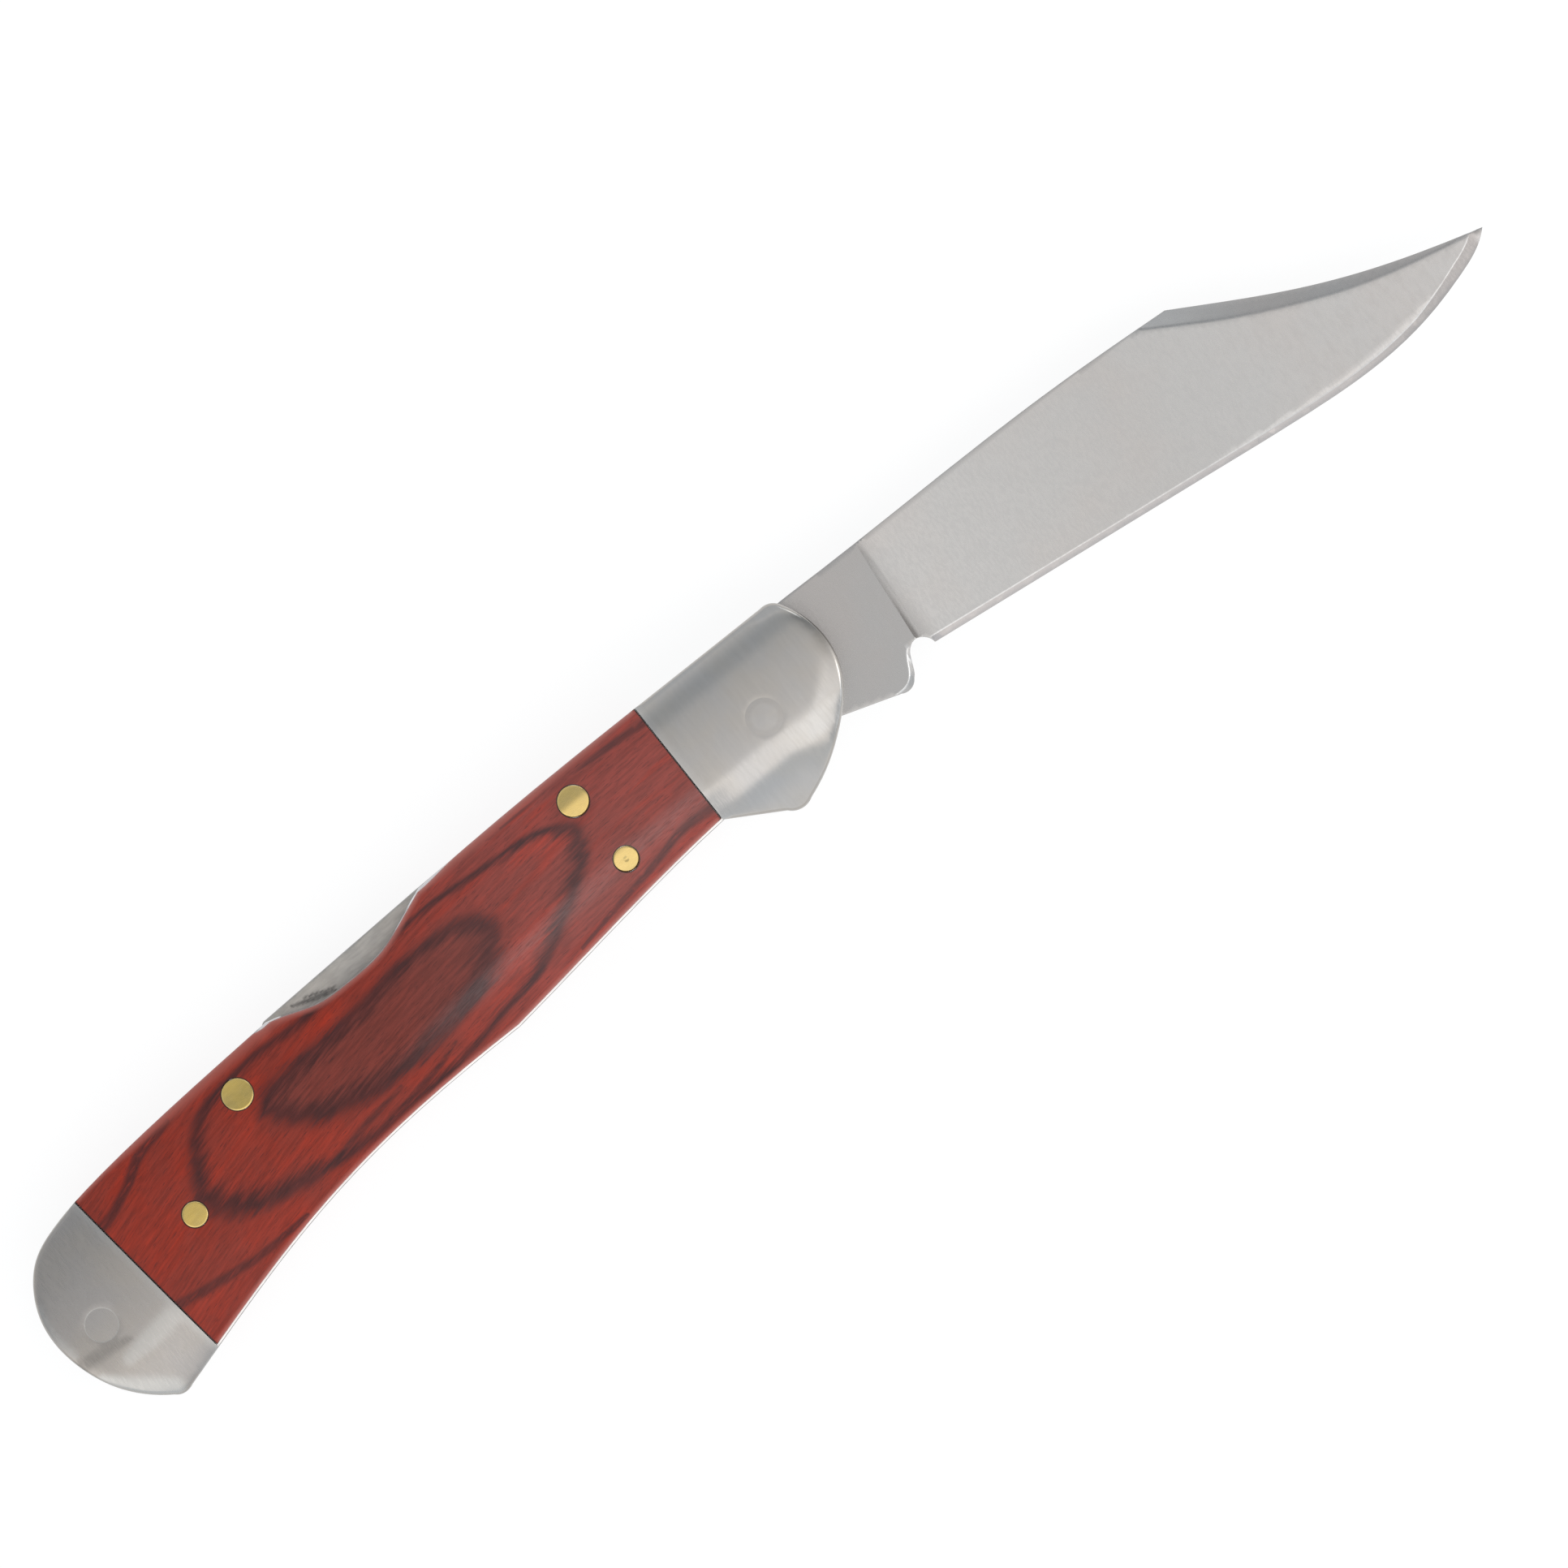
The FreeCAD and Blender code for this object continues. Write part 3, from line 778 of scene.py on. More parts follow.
@dataclass(frozen=True)
class MetalFinish:
    """A ground or polished metal.

    Attributes:
        name: The material's name.
        colour: Its main colour.
        tint: The colour of its soft patches.
        worn_and_highlight: The colour of rubbed rims and honed grinds, and of the painted highlights that the
            bolsters keep with them.
        roughness: How matt it is.
        roughness_spread: How much its finest lines change that.
        lines: Grinding lines per millimetre along each axis.
        line_contrast: How much the lines change the colour.
        line_depth: How deep the lines look, in micrometres.
        line_bump: How strongly they turn the light.
        patches: Soft patches per millimetre.
        rim_width: How far in from the rims they are rubbed, in millimetres.
        dirt_and_shade: The colour of grime marks and of painted shade.
        dirt_and_shade_break: How the finest lines break up grime and painted shade.
        bright: The colour of painted highlights.
        bright_break: How the grinding lines break those up.
    """

    name: str
    colour: Colour
    tint: Colour
    worn_and_highlight: Colour
    roughness: float = 0.28
    roughness_spread: float = 0.04
    lines: tuple[float, float, float] = (0.15, 5.0, 5.0)
    line_contrast: float = 0.04
    line_depth: float = 0.5
    line_bump: float = 0.5
    patches: float = 0.12
    rim_width: float = 0.15
    dirt_and_shade: Colour = (0.1, 0.095, 0.09)
    dirt_and_shade_break: Ramp = (0.35, 0.6, 0.75, 1.0)
    bright: Colour = (0.66, 0.65, 0.64)
    bright_break: Ramp = (0.3, 0.6, 0.6, 1.0)

    def make(self, effects: Effects) -> Material:
        """Build the material with the shared node groups."""
        material, graph, shader = new_material(self.name)
        where = graph.add("ShaderNodeTexCoord").outputs["Object"]
        grain = graph.group(effects.grain, {"Vector": where, "Lines per mm": self.lines})
        clouds = graph.group(effects.clouds, {"Vector": where, "Patches per mm": self.patches})
        wear = graph.group(effects.rim_wear, {"Vector": where, "Width mm": self.rim_width})
        base = graph.blend(clouds["Mask"], opaque(self.colour), opaque(self.tint))
        contrast = (1 - self.line_contrast, 1 + self.line_contrast)
        base = graph.scaled(base, graph.rise(grain["Value"], *NOISE_SPAN, *contrast))
        # Rubbed rims, honed grinds and the bolsters' painted highlights share one colour.
        rubbed = graph.math("MAXIMUM", wear["Mask"], graph.attribute("honed"))
        base = graph.blend(rubbed, base, opaque(self.worn_and_highlight))
        # Grime marks, and painted shade where a piece keeps it in the same attribute.
        stain_and_shade = graph.product(graph.attribute("stain_and_shade"), graph.rise(grain["Fine"], *self.dirt_and_shade_break))
        base = graph.blend(stain_and_shade, base, opaque(self.dirt_and_shade))
        # Painted highlights.
        gleam = graph.product(graph.attribute("gleam"), graph.rise(grain["Value"], *self.bright_break))
        base = graph.blend(gleam, base, opaque(self.bright))
        spread = (self.roughness - self.roughness_spread, self.roughness + self.roughness_spread)
        bump = graph.add("ShaderNodeBump", {"Height": grain["Value"], "Strength": self.line_bump,
                                            "Distance": self.line_depth * MICROMETRE})
        graph.feed(shader.inputs["Base Color"], base)
        graph.feed(shader.inputs["Roughness"], graph.rise(grain["Fine"], *NOISE_SPAN, *spread))
        graph.feed(shader.inputs["Normal"], bump.outputs["Normal"])
        graph.feed(shader.inputs["Metallic"], 1.0)
        return material


@dataclass(frozen=True)
class Ring:
    """How one kind of ring darkens the wood.

    Attributes:
        depth: The attribute with the depth of a point within it, in ring widths.
        feather: How far the fibres break its rim.
        fade: The depth at which the dark has faded out.
        strength: How dark it is.
    """

    depth: str
    feather: float
    fade: float
    strength: float


@dataclass(frozen=True)
class WoodFinish:
    """Red laminated wood, sealed with resin, with dark rings in its figure.

    Attributes:
        name: The material's name.
        red: The main colour.
        front_sheen_red: The paler colour towards the front bolster, a painted sheen.
        front: Where along the handle that starts, and is in full, in metres.
        bright: The colour of bright fibres.
        bright_streaks: How broader streaks take it on.
        heart: The colour within the inner ring.
        heart_depth: How it comes in with the depth there.
        patches: Soft patches of the heart's colour per millimetre.
        patch_share: How far they take it on.
        dark: The colour of the rings.
        rings: How the inner ring, the outer ring and the short bands darken.
        ring_rim: The depths between which a ring darkens.
        ring_core: The depth at which it starts to fade.
        ring_power: How quickly it fades.
        ring_patch: How much of a ring the soft patches leave.
        streaks: The least and the most brightness of the fibres.
        pores: How the finest fibres darken.
        rubbed: The colour of the painted sheen along the rounded rims.
        sheen_fade: How that painted sheen fades in from the rim, in millimetres.
        stain_and_shade: The colour of the grime along joints.
        soil: How that fades away from them, in millimetres.
        fibres: Fibres per millimetre along each axis.
        wisps: Broader streaks per millimetre along each axis.
        lean_from: Where along the handle the fibres lean least, in metres.
        lean: Their slope there.
        curl: How their height bends behind it, per metre.
        roughness: How matt the sealed wood is, in its pores and between them.
        gloss: The specular level of the wood itself.
        pore_bump: How strongly the pores turn the light.
        pore_depth: How deep they look, in millimetres.
        coat: The weight of the resin at the front and on the hand-rubbed shoulder.
        coat_roughness: How matt the resin is.
        coat_index: Its index of refraction.
        shoulder: Where the shoulder starts, is fullest and ends, in millimetres across the crown.
        shoulder_from: Where along the handle it starts, and is in full, in metres.
        shoulder_break: How the finest fibres break it up.
    """

    name: str = "red_laminate_wood"
    red: Colour = (0.25, 0.024, 0.011)
    front_sheen_red: Colour = (0.25, 0.040, 0.028)
    front: Span = (-0.050, -0.024)
    bright: Colour = (0.37, 0.026, 0.008)
    bright_streaks: Ramp = (0.45, 0.7, 0.0, 0.55)
    heart: Colour = (0.145, 0.030, 0.022)
    heart_depth: Ramp = (0.1, 1.4, 0.0, 0.8)
    patches: float = 0.2
    patch_share: float = 0.35
    dark: Colour = (0.042, 0.012, 0.012)
    rings: tuple[Ring, Ring, Ring] = (
        Ring("ring_inner", 1.8, 2.6, 0.95),
        Ring("ring_outer", 1.8, 2.5, 0.95),
        Ring("ring_band", 1.6, 1.9, 0.8))
    ring_rim: Span = (-0.6, 0.55)
    ring_core: float = 0.5
    ring_power: float = 1.3
    ring_patch: float = 0.82
    streaks: Span = (0.82, 1.18)
    pores: Ramp = (0.31, 0.41, 0.55, 0.0)
    rubbed: Colour = (0.40, 0.10, 0.075)
    sheen_fade: Ramp = (0.1, 0.55, 0.75, 0.0)
    stain_and_shade: Colour = (0.02, 0.008, 0.006)
    soil: Ramp = (0.02, 0.14, 1.0, 0.0)
    fibres: tuple[float, float, float] = (0.3, 3.6, 3.6)
    wisps: tuple[float, float, float] = (0.1, 1.0, 1.0)
    lean_from: float = -0.015
    lean: float = 0.06
    curl: float = -2.0
    roughness: Span = (0.48, 0.34)
    gloss: float = 0.22
    pore_bump: float = 0.6
    pore_depth: float = 0.02
    coat: Span = (0.25, 0.5)
    coat_roughness: float = 0.3
    coat_index: float = 1.8
    shoulder: tuple[float, float, float] = (-2.0, -3.5, -5.4)
    shoulder_from: Span = (-0.052, -0.036)
    shoulder_break: Ramp = (0.35, 0.65, 0.5, 1.0)

    def make(self, effects: Effects) -> Material:
        """Build the material with the shared node groups."""
        material, graph, shader = new_material(self.name)
        where = graph.add("ShaderNodeTexCoord").outputs["Object"]
        along, up, through = graph.split(where)
        behind = graph.math("SUBTRACT", along, self.lean_from)
        lift = graph.product(behind, graph.math("MULTIPLY_ADD", behind, self.curl, self.lean))
        turned = graph.joined(along, graph.math("SUBTRACT", up, lift), through)
        fibres = graph.group(effects.grain, {"Vector": turned, "Lines per mm": self.fibres})
        wisps = graph.group(effects.grain, {"Vector": turned, "Lines per mm": self.wisps})
        clouds = graph.group(effects.clouds, {"Vector": turned, "Patches per mm": self.patches})
        front = graph.rise(along, *self.front)
        # Paler towards the front: a painted sheen.
        base = graph.blend(front, opaque(self.red), opaque(self.front_sheen_red))
        base = graph.blend(graph.rise(wisps["Value"], *self.bright_streaks), base, opaque(self.bright))
        base = graph.blend(graph.product(clouds["Mask"], self.patch_share), base, opaque(self.heart))
        feather = graph.math("ADD", graph.math("SUBTRACT", wisps["Value"], NOISE_MIDDLE),
                             graph.math("SUBTRACT", fibres["Value"], NOISE_MIDDLE))
        base = self._ringed(graph, base, feather, clouds["Mask"])
        base = graph.scaled(base, graph.rise(fibres["Value"], *NOISE_SPAN, *self.streaks))
        base = graph.blend(graph.rise(fibres["Fine"], *self.pores), base, opaque(self.dark))
        # Painted sheen along the rounded rims.
        base = graph.blend(graph.rise(graph.attribute("edge"), *self.sheen_fade), base, opaque(self.rubbed))
        soil = graph.product(graph.rise(graph.attribute("rim"), *self.soil), graph.attribute("joint"))
        base = graph.blend(soil, base, opaque(self.stain_and_shade))
        shoulder = self._on_shoulder(graph, along, fibres["Fine"])
        at_front, on_shoulder = self.coat
        coat = graph.math("MULTIPLY_ADD", shoulder, on_shoulder, graph.product(front, at_front))
        bump = graph.add("ShaderNodeBump", {"Height": fibres["Fine"], "Strength": self.pore_bump,
                                            "Distance": self.pore_depth * MM})
        graph.feed(shader.inputs["Base Color"], base)
        graph.feed(shader.inputs["Roughness"], graph.rise(fibres["Fine"], *NOISE_SPAN, *self.roughness))
        graph.feed(shader.inputs["Coat Weight"], coat)
        graph.feed(shader.inputs["Normal"], bump.outputs["Normal"])
        graph.feed(shader.inputs["Specular IOR Level"], self.gloss)
        graph.feed(shader.inputs["Coat Roughness"], self.coat_roughness)
        graph.feed(shader.inputs["Coat IOR"], self.coat_index)
        return material

    def _ringed(self, graph: Graph, base: Socket, feather: Socket, patches: Socket) -> Socket:
        """Lay the heart and the dark rings over the wood's colour."""
        depths = []
        for ring in self.rings:
            depths.append(graph.math("MULTIPLY_ADD", feather, ring.feather, graph.attribute(ring.depth)))
        base = graph.blend(graph.rise(depths[0], *self.heart_depth), base, opaque(self.heart))
        patchy = graph.rise(patches, 0.0, 1.0, 1.0, self.ring_patch)
        for ring, depth in zip(self.rings, depths):
            fade = graph.rise(depth, self.ring_core, ring.fade, 1.0, 0.0)
            tail = graph.math("POWER", fade, self.ring_power)
            shade = graph.product(graph.rise(depth, *self.ring_rim), tail, patchy, ring.strength)
            base = graph.blend(shade, base, opaque(self.dark))
        return base

    def _on_shoulder(self, graph: Graph, along: Socket, fine: Socket) -> Socket:
        """How far the hand has rubbed the wood, on the shoulder of the crown."""
        across = graph.attribute("across")
        start, full, end = self.shoulder
        return graph.product(
            graph.rise(across, full, start, 1.0, 0.0), graph.rise(across, end, full),
            graph.rise(along, *self.shoulder_from), graph.rise(fine, *self.shoulder_break))


@dataclass(frozen=True)
class Finishes:
    """The materials of the knife."""

    blade: Material
    bolster: Material
    butt: Material
    liner: Material
    lock: Material
    pin: Material
    brass: Material
    wood: Material

    @classmethod
    def make(cls) -> "Finishes":
        """Build every material."""
        effects = Effects()
        buffed = (2.5, 0.35, 0.35)
        kinds = dict(
            blade=MetalFinish(
                "satin_blade_steel", (0.43, 0.405, 0.388), (0.42, 0.41, 0.40), (0.44, 0.41, 0.395),
                roughness=0.28, lines=(1.5, 0.5, 1.5), line_contrast=0.004, line_depth=0.02,
                patches=0.06, rim_width=0.04),
            bolster=MetalFinish(
                "buffed_bolster_steel", (0.425, 0.40, 0.37), (0.415, 0.40, 0.385), (0.50, 0.48, 0.46),
                roughness=0.17, lines=buffed, line_contrast=0.015, line_depth=0.05,
                patches=0.16, dirt_and_shade=(0.25, 0.25, 0.25)),
            butt=MetalFinish(
                "dull_butt_steel", (0.345, 0.318, 0.292), (0.335, 0.315, 0.30), (0.44, 0.43, 0.41),
                roughness=0.3, lines=buffed, line_contrast=0.015, line_depth=0.05,
                patches=0.16),
            liner=MetalFinish(
                "bright_liner_steel", (0.85, 0.82, 0.80), (0.8, 0.78, 0.76), (0.24, 0.22, 0.21),
                roughness=0.3, rim_width=0.11, dirt_and_shade=(0.30, 0.25, 0.23), bright=(0.96, 0.93, 0.92)),
            lock=MetalFinish(
                "ground_lock_steel", (0.43, 0.40, 0.365), (0.38, 0.36, 0.335), (0.5, 0.48, 0.46),
                roughness=0.34, lines=(0.6, 3.0, 3.0), line_contrast=0.08, line_depth=0.8,
                patches=0.2, rim_width=0.1),
            pin=MetalFinish(
                "spun_pin_steel", (0.425, 0.40, 0.37), (0.415, 0.40, 0.385), (0.43, 0.41, 0.38),
                roughness=0.22, lines=(1.0, 1.0, 1.0), line_contrast=0.02, line_depth=0.05,
                patches=0.3, rim_width=0.03, dirt_and_shade=(0.33, 0.312, 0.295)),
            brass=MetalFinish(
                "dressed_brass", (0.57, 0.41, 0.125), (0.53, 0.39, 0.135), (0.70, 0.52, 0.24),
                roughness=0.28, lines=(0.8, 3.0, 3.0), line_contrast=0.05, line_depth=0.3,
                patches=0.5, rim_width=0.12),
            wood=WoodFinish(),
        )
        return cls(**{name: kind.make(effects) for name, kind in kinds.items()})


# The knife's pieces

@dataclass(frozen=True)
class Crown:
    """The rounded envelope that bolsters, scales and pins share.

    Attributes:
        stack: The height of the whole stack.
        flat_half: Half the width of the strip along its middle.
        strip_radius: The large radius to which that strip is buffed.
        shoulder_radius: The radius of the shoulders beside it, along the middle of the handle.
        back_radii: That of the back's shoulder, at places along the handle.
        belly_radii: That of the belly's.
        shoulder_angle: The slope at which they turn straight.
        arc_radius: The radius of the arc that the strip follows.
        apex: The strip's topmost point.
    """

    stack: float = CAD_BOX[1].z / MM
    flat_half: float = 3.5
    strip_radius: float = 80.0
    shoulder_radius: float = 11.0
    back_radii: Table = ((-84.0, 45.0), (-74.0, 11.0))
    belly_radii: Table = ((-84.0, 30.0), (-72.0, 11.0), (0.0, 11.0), (6.0, 19.0))
    shoulder_angle: float = math.radians(35)
    arc_radius: float = 576.0
    apex: tuple[float, float] = (5.0, 1.8)

    def across(self, points: Points) -> np.ndarray:
        """How far flat points lie from the strip's middle, positive towards the back."""
        along = points[:, 0] - self.apex[0]
        above = points[:, 1] - self.apex[1] + self.arc_radius
        return np.hypot(along, above) - self.arc_radius

    def drop(self, points: Points) -> np.ndarray:
        """How far the crown has fallen from the flat strip at flat points."""
        across = self.across(points)
        offset = np.abs(across)
        belly = read_off(self.belly_radii, points[:, 0])
        back = read_off(self.back_radii, points[:, 0])
        radius = np.where(across < 0, belly, back)
        strip = np.minimum(offset, self.flat_half)
        start = self.flat_half / self.strip_radius
        beyond = offset - strip
        bend = np.minimum(beyond, radius * (math.sin(self.shoulder_angle) - start))
        lean = start + bend / radius
        arc = radius * (math.sqrt(1 - start ** 2) - np.sqrt(1 - lean ** 2))
        return strip ** 2 / (2 * self.strip_radius) + arc + (beyond - bend) * math.tan(self.shoulder_angle)

    def surface(self, side: Side) -> Field:
        """The level of the crown on one side."""
        if side is Side.PILE:
            return lambda points: self.stack - self.drop(points)
        return self.drop


@dataclass
class Slabs:
    """The crowned slabs outside the liners: two bolsters and a scale on each side.

    A pair of places says where something starts, and where it is in full.

    Attributes:
        crown: Their shared envelope.
        finishes: The materials.
        slab: The slabs' thickness.
        pitch: The spacing of points on their crowned faces.
        section_depth: How far from the liner the outline is read.
        inner_rim: The rounding where a slab meets its liner.
        joint_rim: The rounding along the joints and round the holes in the wood.
        hole_rim: The rounding round the holes in the bolsters.
        bolster_rim: The rounding of a bolster's outer rim.
        bolster_pins: The pins in the bolsters.
        front_free: How far from its joint the front bolster has that rim.
        rear_free: The same for the rear bolster.
        wood_rim: The rounding of the wood's outer rim.
        wood_pins: The pins in the wood.
        wood_free: How far from a joint the wood has that rim.
        pin_clear: How far from a pin's middle the wood's rim belongs to its hole.
        wood_reach: How far the wood is carried out along the back, flush with the liners.
        reach_from: How far across the crown that is so.
        scallop_rear: Where it is so behind the thumb scallop.
        scallop_front: Where it is so in front of it.
        back_sheen: How much wider the painted sheen on the wood's rim is along the back, at places along the
            handle.
        nose_roll: How wide the front bolster's nose rolls off, at the belly and at the back.
        nose_heights: The heights of those two.
        nose_from: Where along the bolster its nose rolls off.
        butt_roll: How wide the rear bolster's end rolls off.
        butt_from: Where along it that is so.
        roll_slope: How steep a roll is at the rim.
        joint_gleam: How bright the painted highlight along a bolster's joint is.
        joint_near: How far from the joint that is so.
        butt_shade_band: A band of painted shade on the rear bolster, as points with its half width.
        butt_shade: How dark that painted shade is.
        butt_highlights: Painted highlight patches on it, in the same way, with how bright each is.
        band_sides: The two sides of the painted highlight band along the front bolster, across the handle.
        band_fade: How far it fades at its sides.
        band_gleam: How bright it is.
        band_ends: Where along the bolster it is bright.
        band_shade: How much painted shade darkens that band at the joint.
        band_near: How far from the joint that is so.
        front_joint: Where the front bolster meets the wood.
        rear_joint: Where the rear bolster meets the wood, at the back.
        rear_foot: A point on that leaning joint.
        rear_lean: How far it leans.
    """

    crown: Crown
    finishes: Finishes
    slab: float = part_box("front_bolster_mark")[1].z / MM
    pitch: float = 0.45
    section_depth: float = 0.08
    inner_rim: float = 0.03
    joint_rim: float = 0.05
    hole_rim: float = 0.004
    bolster_rim: float = 0.4
    bolster_pins: tuple[str, ...] = ("pivot_pin", "rear_bolster_pin")
    front_free: Span = (0.15, 0.8)
    rear_free: Span = (2.6, 3.4)
    wood_rim: float = 0.8
    wood_pins: tuple[str, ...] = (
        "lock_bar_pin", "spacer_pin", "scale_rivet_front_pile", "scale_rivet_rear_pile")
    wood_free: Span = (0.15, 0.6)
    pin_clear: float = 1.75
    wood_reach: float = 0.25
    reach_from: Span = (4.0, 4.5)
    scallop_rear: Span = (-57.0, -58.5)
    scallop_front: Span = (-36.5, -32.0)
    back_sheen: Table = (
        (-78.0, 1.0), (-69.0, 2.4), (-58.0, 2.6), (-54.0, 1.2),
        (-36.0, 1.2), (-30.0, 2.1), (-20.0, 1.8), (-12.0, 1.3))
    nose_roll: Span = (3.4, 1.3)
    nose_heights: Span = (-7.0, 8.0)
    nose_from: Span = (3.0, 6.5)
    butt_roll: float = 1.2
    butt_from: Span = (-87.0, -91.0)
    roll_slope: float = 0.3
    joint_gleam: float = 0.55
    joint_near: Span = (0.8, 0.2)
    butt_shade_band: Trace = ((-91.6, -8.2, 1.1), (-90.0, -8.3, 1.0), (-88.0, -8.5, 0.8), (-86.0, -8.9, 0.4))
    butt_shade: float = 0.4
    butt_highlights: tuple[tuple[float, Trace], ...] = (
        (0.9, ((-90.6, -10.6, 1.0), (-88.4, -13.2, 1.7), (-85.6, -15.4, 1.6))),
        (0.6, ((-87.2, -10.4, 1.0), (-84.0, -10.1, 1.5), (-81.0, -9.7, 1.5))),
        (0.5, ((-91.2, -1.0, 0.5), (-91.7, -4.0, 0.7), (-91.2, -7.0, 0.5))))
    band_sides: Span = (-2.2, -5.2)
    band_fade: float = 0.8
    band_gleam: float = 0.22
    band_ends: Span = (-2.0, 4.0)
    band_shade: float = 0.75
    band_near: Span = (3.6, 0.2)
    front_joint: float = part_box("front_bolster_pile")[0].x / MM
    rear_joint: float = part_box("rear_bolster_pile")[1].x / MM
    rear_foot: tuple[float, float] = (-80.9, -5.0)
    rear_lean: float = math.radians(6.5)

    def build(self) -> None:
        """Make and dress the slabs of both sides."""
        for side in Side:
            self._front_bolster(side)
            self._rear_bolster(side)
            self._scale(side)

    def _inner(self, side: Side) -> float:
        """The level at which the slabs of one side lie on their liner."""
        return self.slab if side is Side.MARK else self.crown.stack - self.slab

    def _outline(self, name: str, side: Side) -> list[Points]:
        """The outline of one slab's CAD node."""
        return section(name, self._inner(side) + side.sign * self.section_depth)

    def _plate(self, name: str, side: Side, loops: list[Points], rounding: Field,
               roll: Field | None = None) -> Object:
        """Make one slab on an outline."""
        outer = Face(self.crown.surface(side), rounding, self.pitch, roll, self.roll_slope)
        inner = Face(even(self._inner(side)), even(self.inner_rim))
        faces = (outer, inner) if side is Side.PILE else (inner, outer)
        return Plate(loops).build("looks_" + name, *faces)

    def _round_hole(self, points: Points) -> np.ndarray:
        """Whether points lie on the rim of a bolster's hole."""
        near = np.zeros(len(points), bool)
        for pin in self.bolster_pins:
            low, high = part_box(pin)
            near |= np.hypot(*(points - middle_of(pin)).T) < (high.x - low.x) / MM
        return near

    def _bolster_rounding(self, joint: float, free: Span) -> Field:
        """The rim radius of a bolster, small along its joint and round its holes."""
        def radius(points: Points) -> np.ndarray:
            """The radius at points of its outline."""
            share = smooth_rise(np.abs(points[:, 0] - joint), *free)
            rim = self.joint_rim + (self.bolster_rim - self.joint_rim) * share
            return np.where(self._round_hole(points), self.hole_rim, rim)
        return radius

    def _nose(self, points: Points) -> np.ndarray:
        """The width of the front bolster's roll at points of its outline."""
        belly, back = self.nose_roll
        width = belly + (back - belly) * smooth_rise(points[:, 1], *self.nose_heights)
        width *= smooth_rise(points[:, 0], *self.nose_from)
        return np.where(self._round_hole(points), 0.0, width)

    def _butt(self, points: Points) -> np.ndarray:
        """The width of the rear bolster's roll at points of its outline."""
        width = self.butt_roll * smooth_rise(points[:, 0], *self.butt_from)
        return np.where(self._round_hole(points), 0.0, width)

    def _front_bolster(self, side: Side) -> None:
        """Make one front bolster, with a painted highlight band along its belly, painted shade on that band
        near the joint, and a painted highlight along the joint.
        """
        name = "front_bolster_" + side.value
        rounding = self._bolster_rounding(self.front_joint, self.front_free)
        piece = self._plate(name, side, self._outline(name, side), rounding, self._nose)
        along, up, _ = corners(piece.data).T
        away = along - self.front_joint
        top, foot = self.band_sides
        band = smooth_rise(up, top, top - self.band_fade) * smooth_rise(up, foot, foot + self.band_fade)
        # Painted light: a highlight along the joint, kept with the honed marks, shade on the band near the
        # joint, and the highlight band itself.
        store(piece.data, "honed", self.joint_gleam * smooth_rise(away, *self.joint_near) * (1 - band))
        store(piece.data, "stain_and_shade", self.band_shade * band * smooth_rise(away, *self.band_near))
        store(piece.data, "gleam", self.band_gleam * band * smooth_rise(along, *self.band_ends))
        dressed(piece, Body.HANDLE, "bolster_steel", self.finishes.bolster, name)

    def _rear_bolster(self, side: Side) -> None:
        """Make one rear bolster, with its band of painted shade and its painted highlights."""
        name = "rear_bolster_" + side.value
        rounding = self._bolster_rounding(self.rear_joint, self.rear_free)
        piece = self._plate(name, side, self._outline(name, side), rounding, self._butt)
        at = corners(piece.data)[:, :2]
        # Painted highlights: bright patches and a line along the joint, kept with the honed marks.
        painted_highlights = [share * soft_patch(at, trace) for share, trace in self.butt_highlights]
        painted_highlights.append(self.joint_gleam * smooth_rise(self._rear_line(at) - at[:, 0], *self.joint_near))
        store(piece.data, "honed", np.max(painted_highlights, axis=0))
        # A band of painted shade.
        store(piece.data, "stain_and_shade", self.butt_shade * soft_patch(at, self.butt_shade_band))
        dressed(piece, Body.HANDLE, "bolster_steel", self.finishes.butt, name)

    def _rear_line(self, points: Points) -> np.ndarray:
        """Where along the handle the leaning rear joint lies, at the height of points."""
        return self.rear_foot[0] - (points[:, 1] - self.rear_foot[1]) * math.tan(self.rear_lean)

    def _wood_edge(self, points: Points) -> np.ndarray:
        """1 along the outer rim of the wood, and 0 along its joints and holes."""
        free = smooth_rise(self.front_joint - points[:, 0], *self.wood_free)
        free *= smooth_rise(points[:, 0] - self._rear_line(points), *self.wood_free)
        for pin in self.wood_pins:
            free = np.where(np.hypot(*(points - middle_of(pin)).T) < self.pin_clear, 0.0, free)
        return free

    def _to_back(self, loop: Points) -> Points:
        """Carry the wood's outline out to the liners along the back, beside the thumb scallop."""
        back = smooth_rise(self.crown.across(loop), *self.reach_from)
        beside = smooth_rise(loop[:, 0], *self.scallop_rear) + smooth_rise(loop[:, 0], *self.scallop_front)
        lift = self.wood_reach * back * beside
        at_joint = loop[:, 0] - self._rear_line(loop) < RIM_STEP
        slide = np.where(at_joint, -lift * math.tan(self.rear_lean), 0.0)
        return loop + np.column_stack([slide, lift])

    def _scale(self, side: Side) -> None:
        """Make one wooden scale, with its figure."""
        name = "scale_" + side.value

        def rounding(points: Points) -> np.ndarray:
            """The rim radius at points of its outline."""
            return self.joint_rim + (self.wood_rim - self.joint_rim) * self._wood_edge(points)

        loops = self._outline(name, side)
        loops[0] = outline = self._to_back(stepped(loops[0], RIM_STEP))
        piece = self._plate(name, side, loops, rounding)
        points = corners(piece.data)
        at = points[:, :2]
        across = self.crown.across(at)
        store(piece.data, "joint", 1 - self._wood_edge(at))
        store(piece.data, "across", across)
        after = np.roll(outline, -1, axis=0)
        free = self._wood_edge(outline) * self._wood_edge(after) > 0.5
        depth = np.abs(self.crown.surface(side)(at) - points[:, 2])
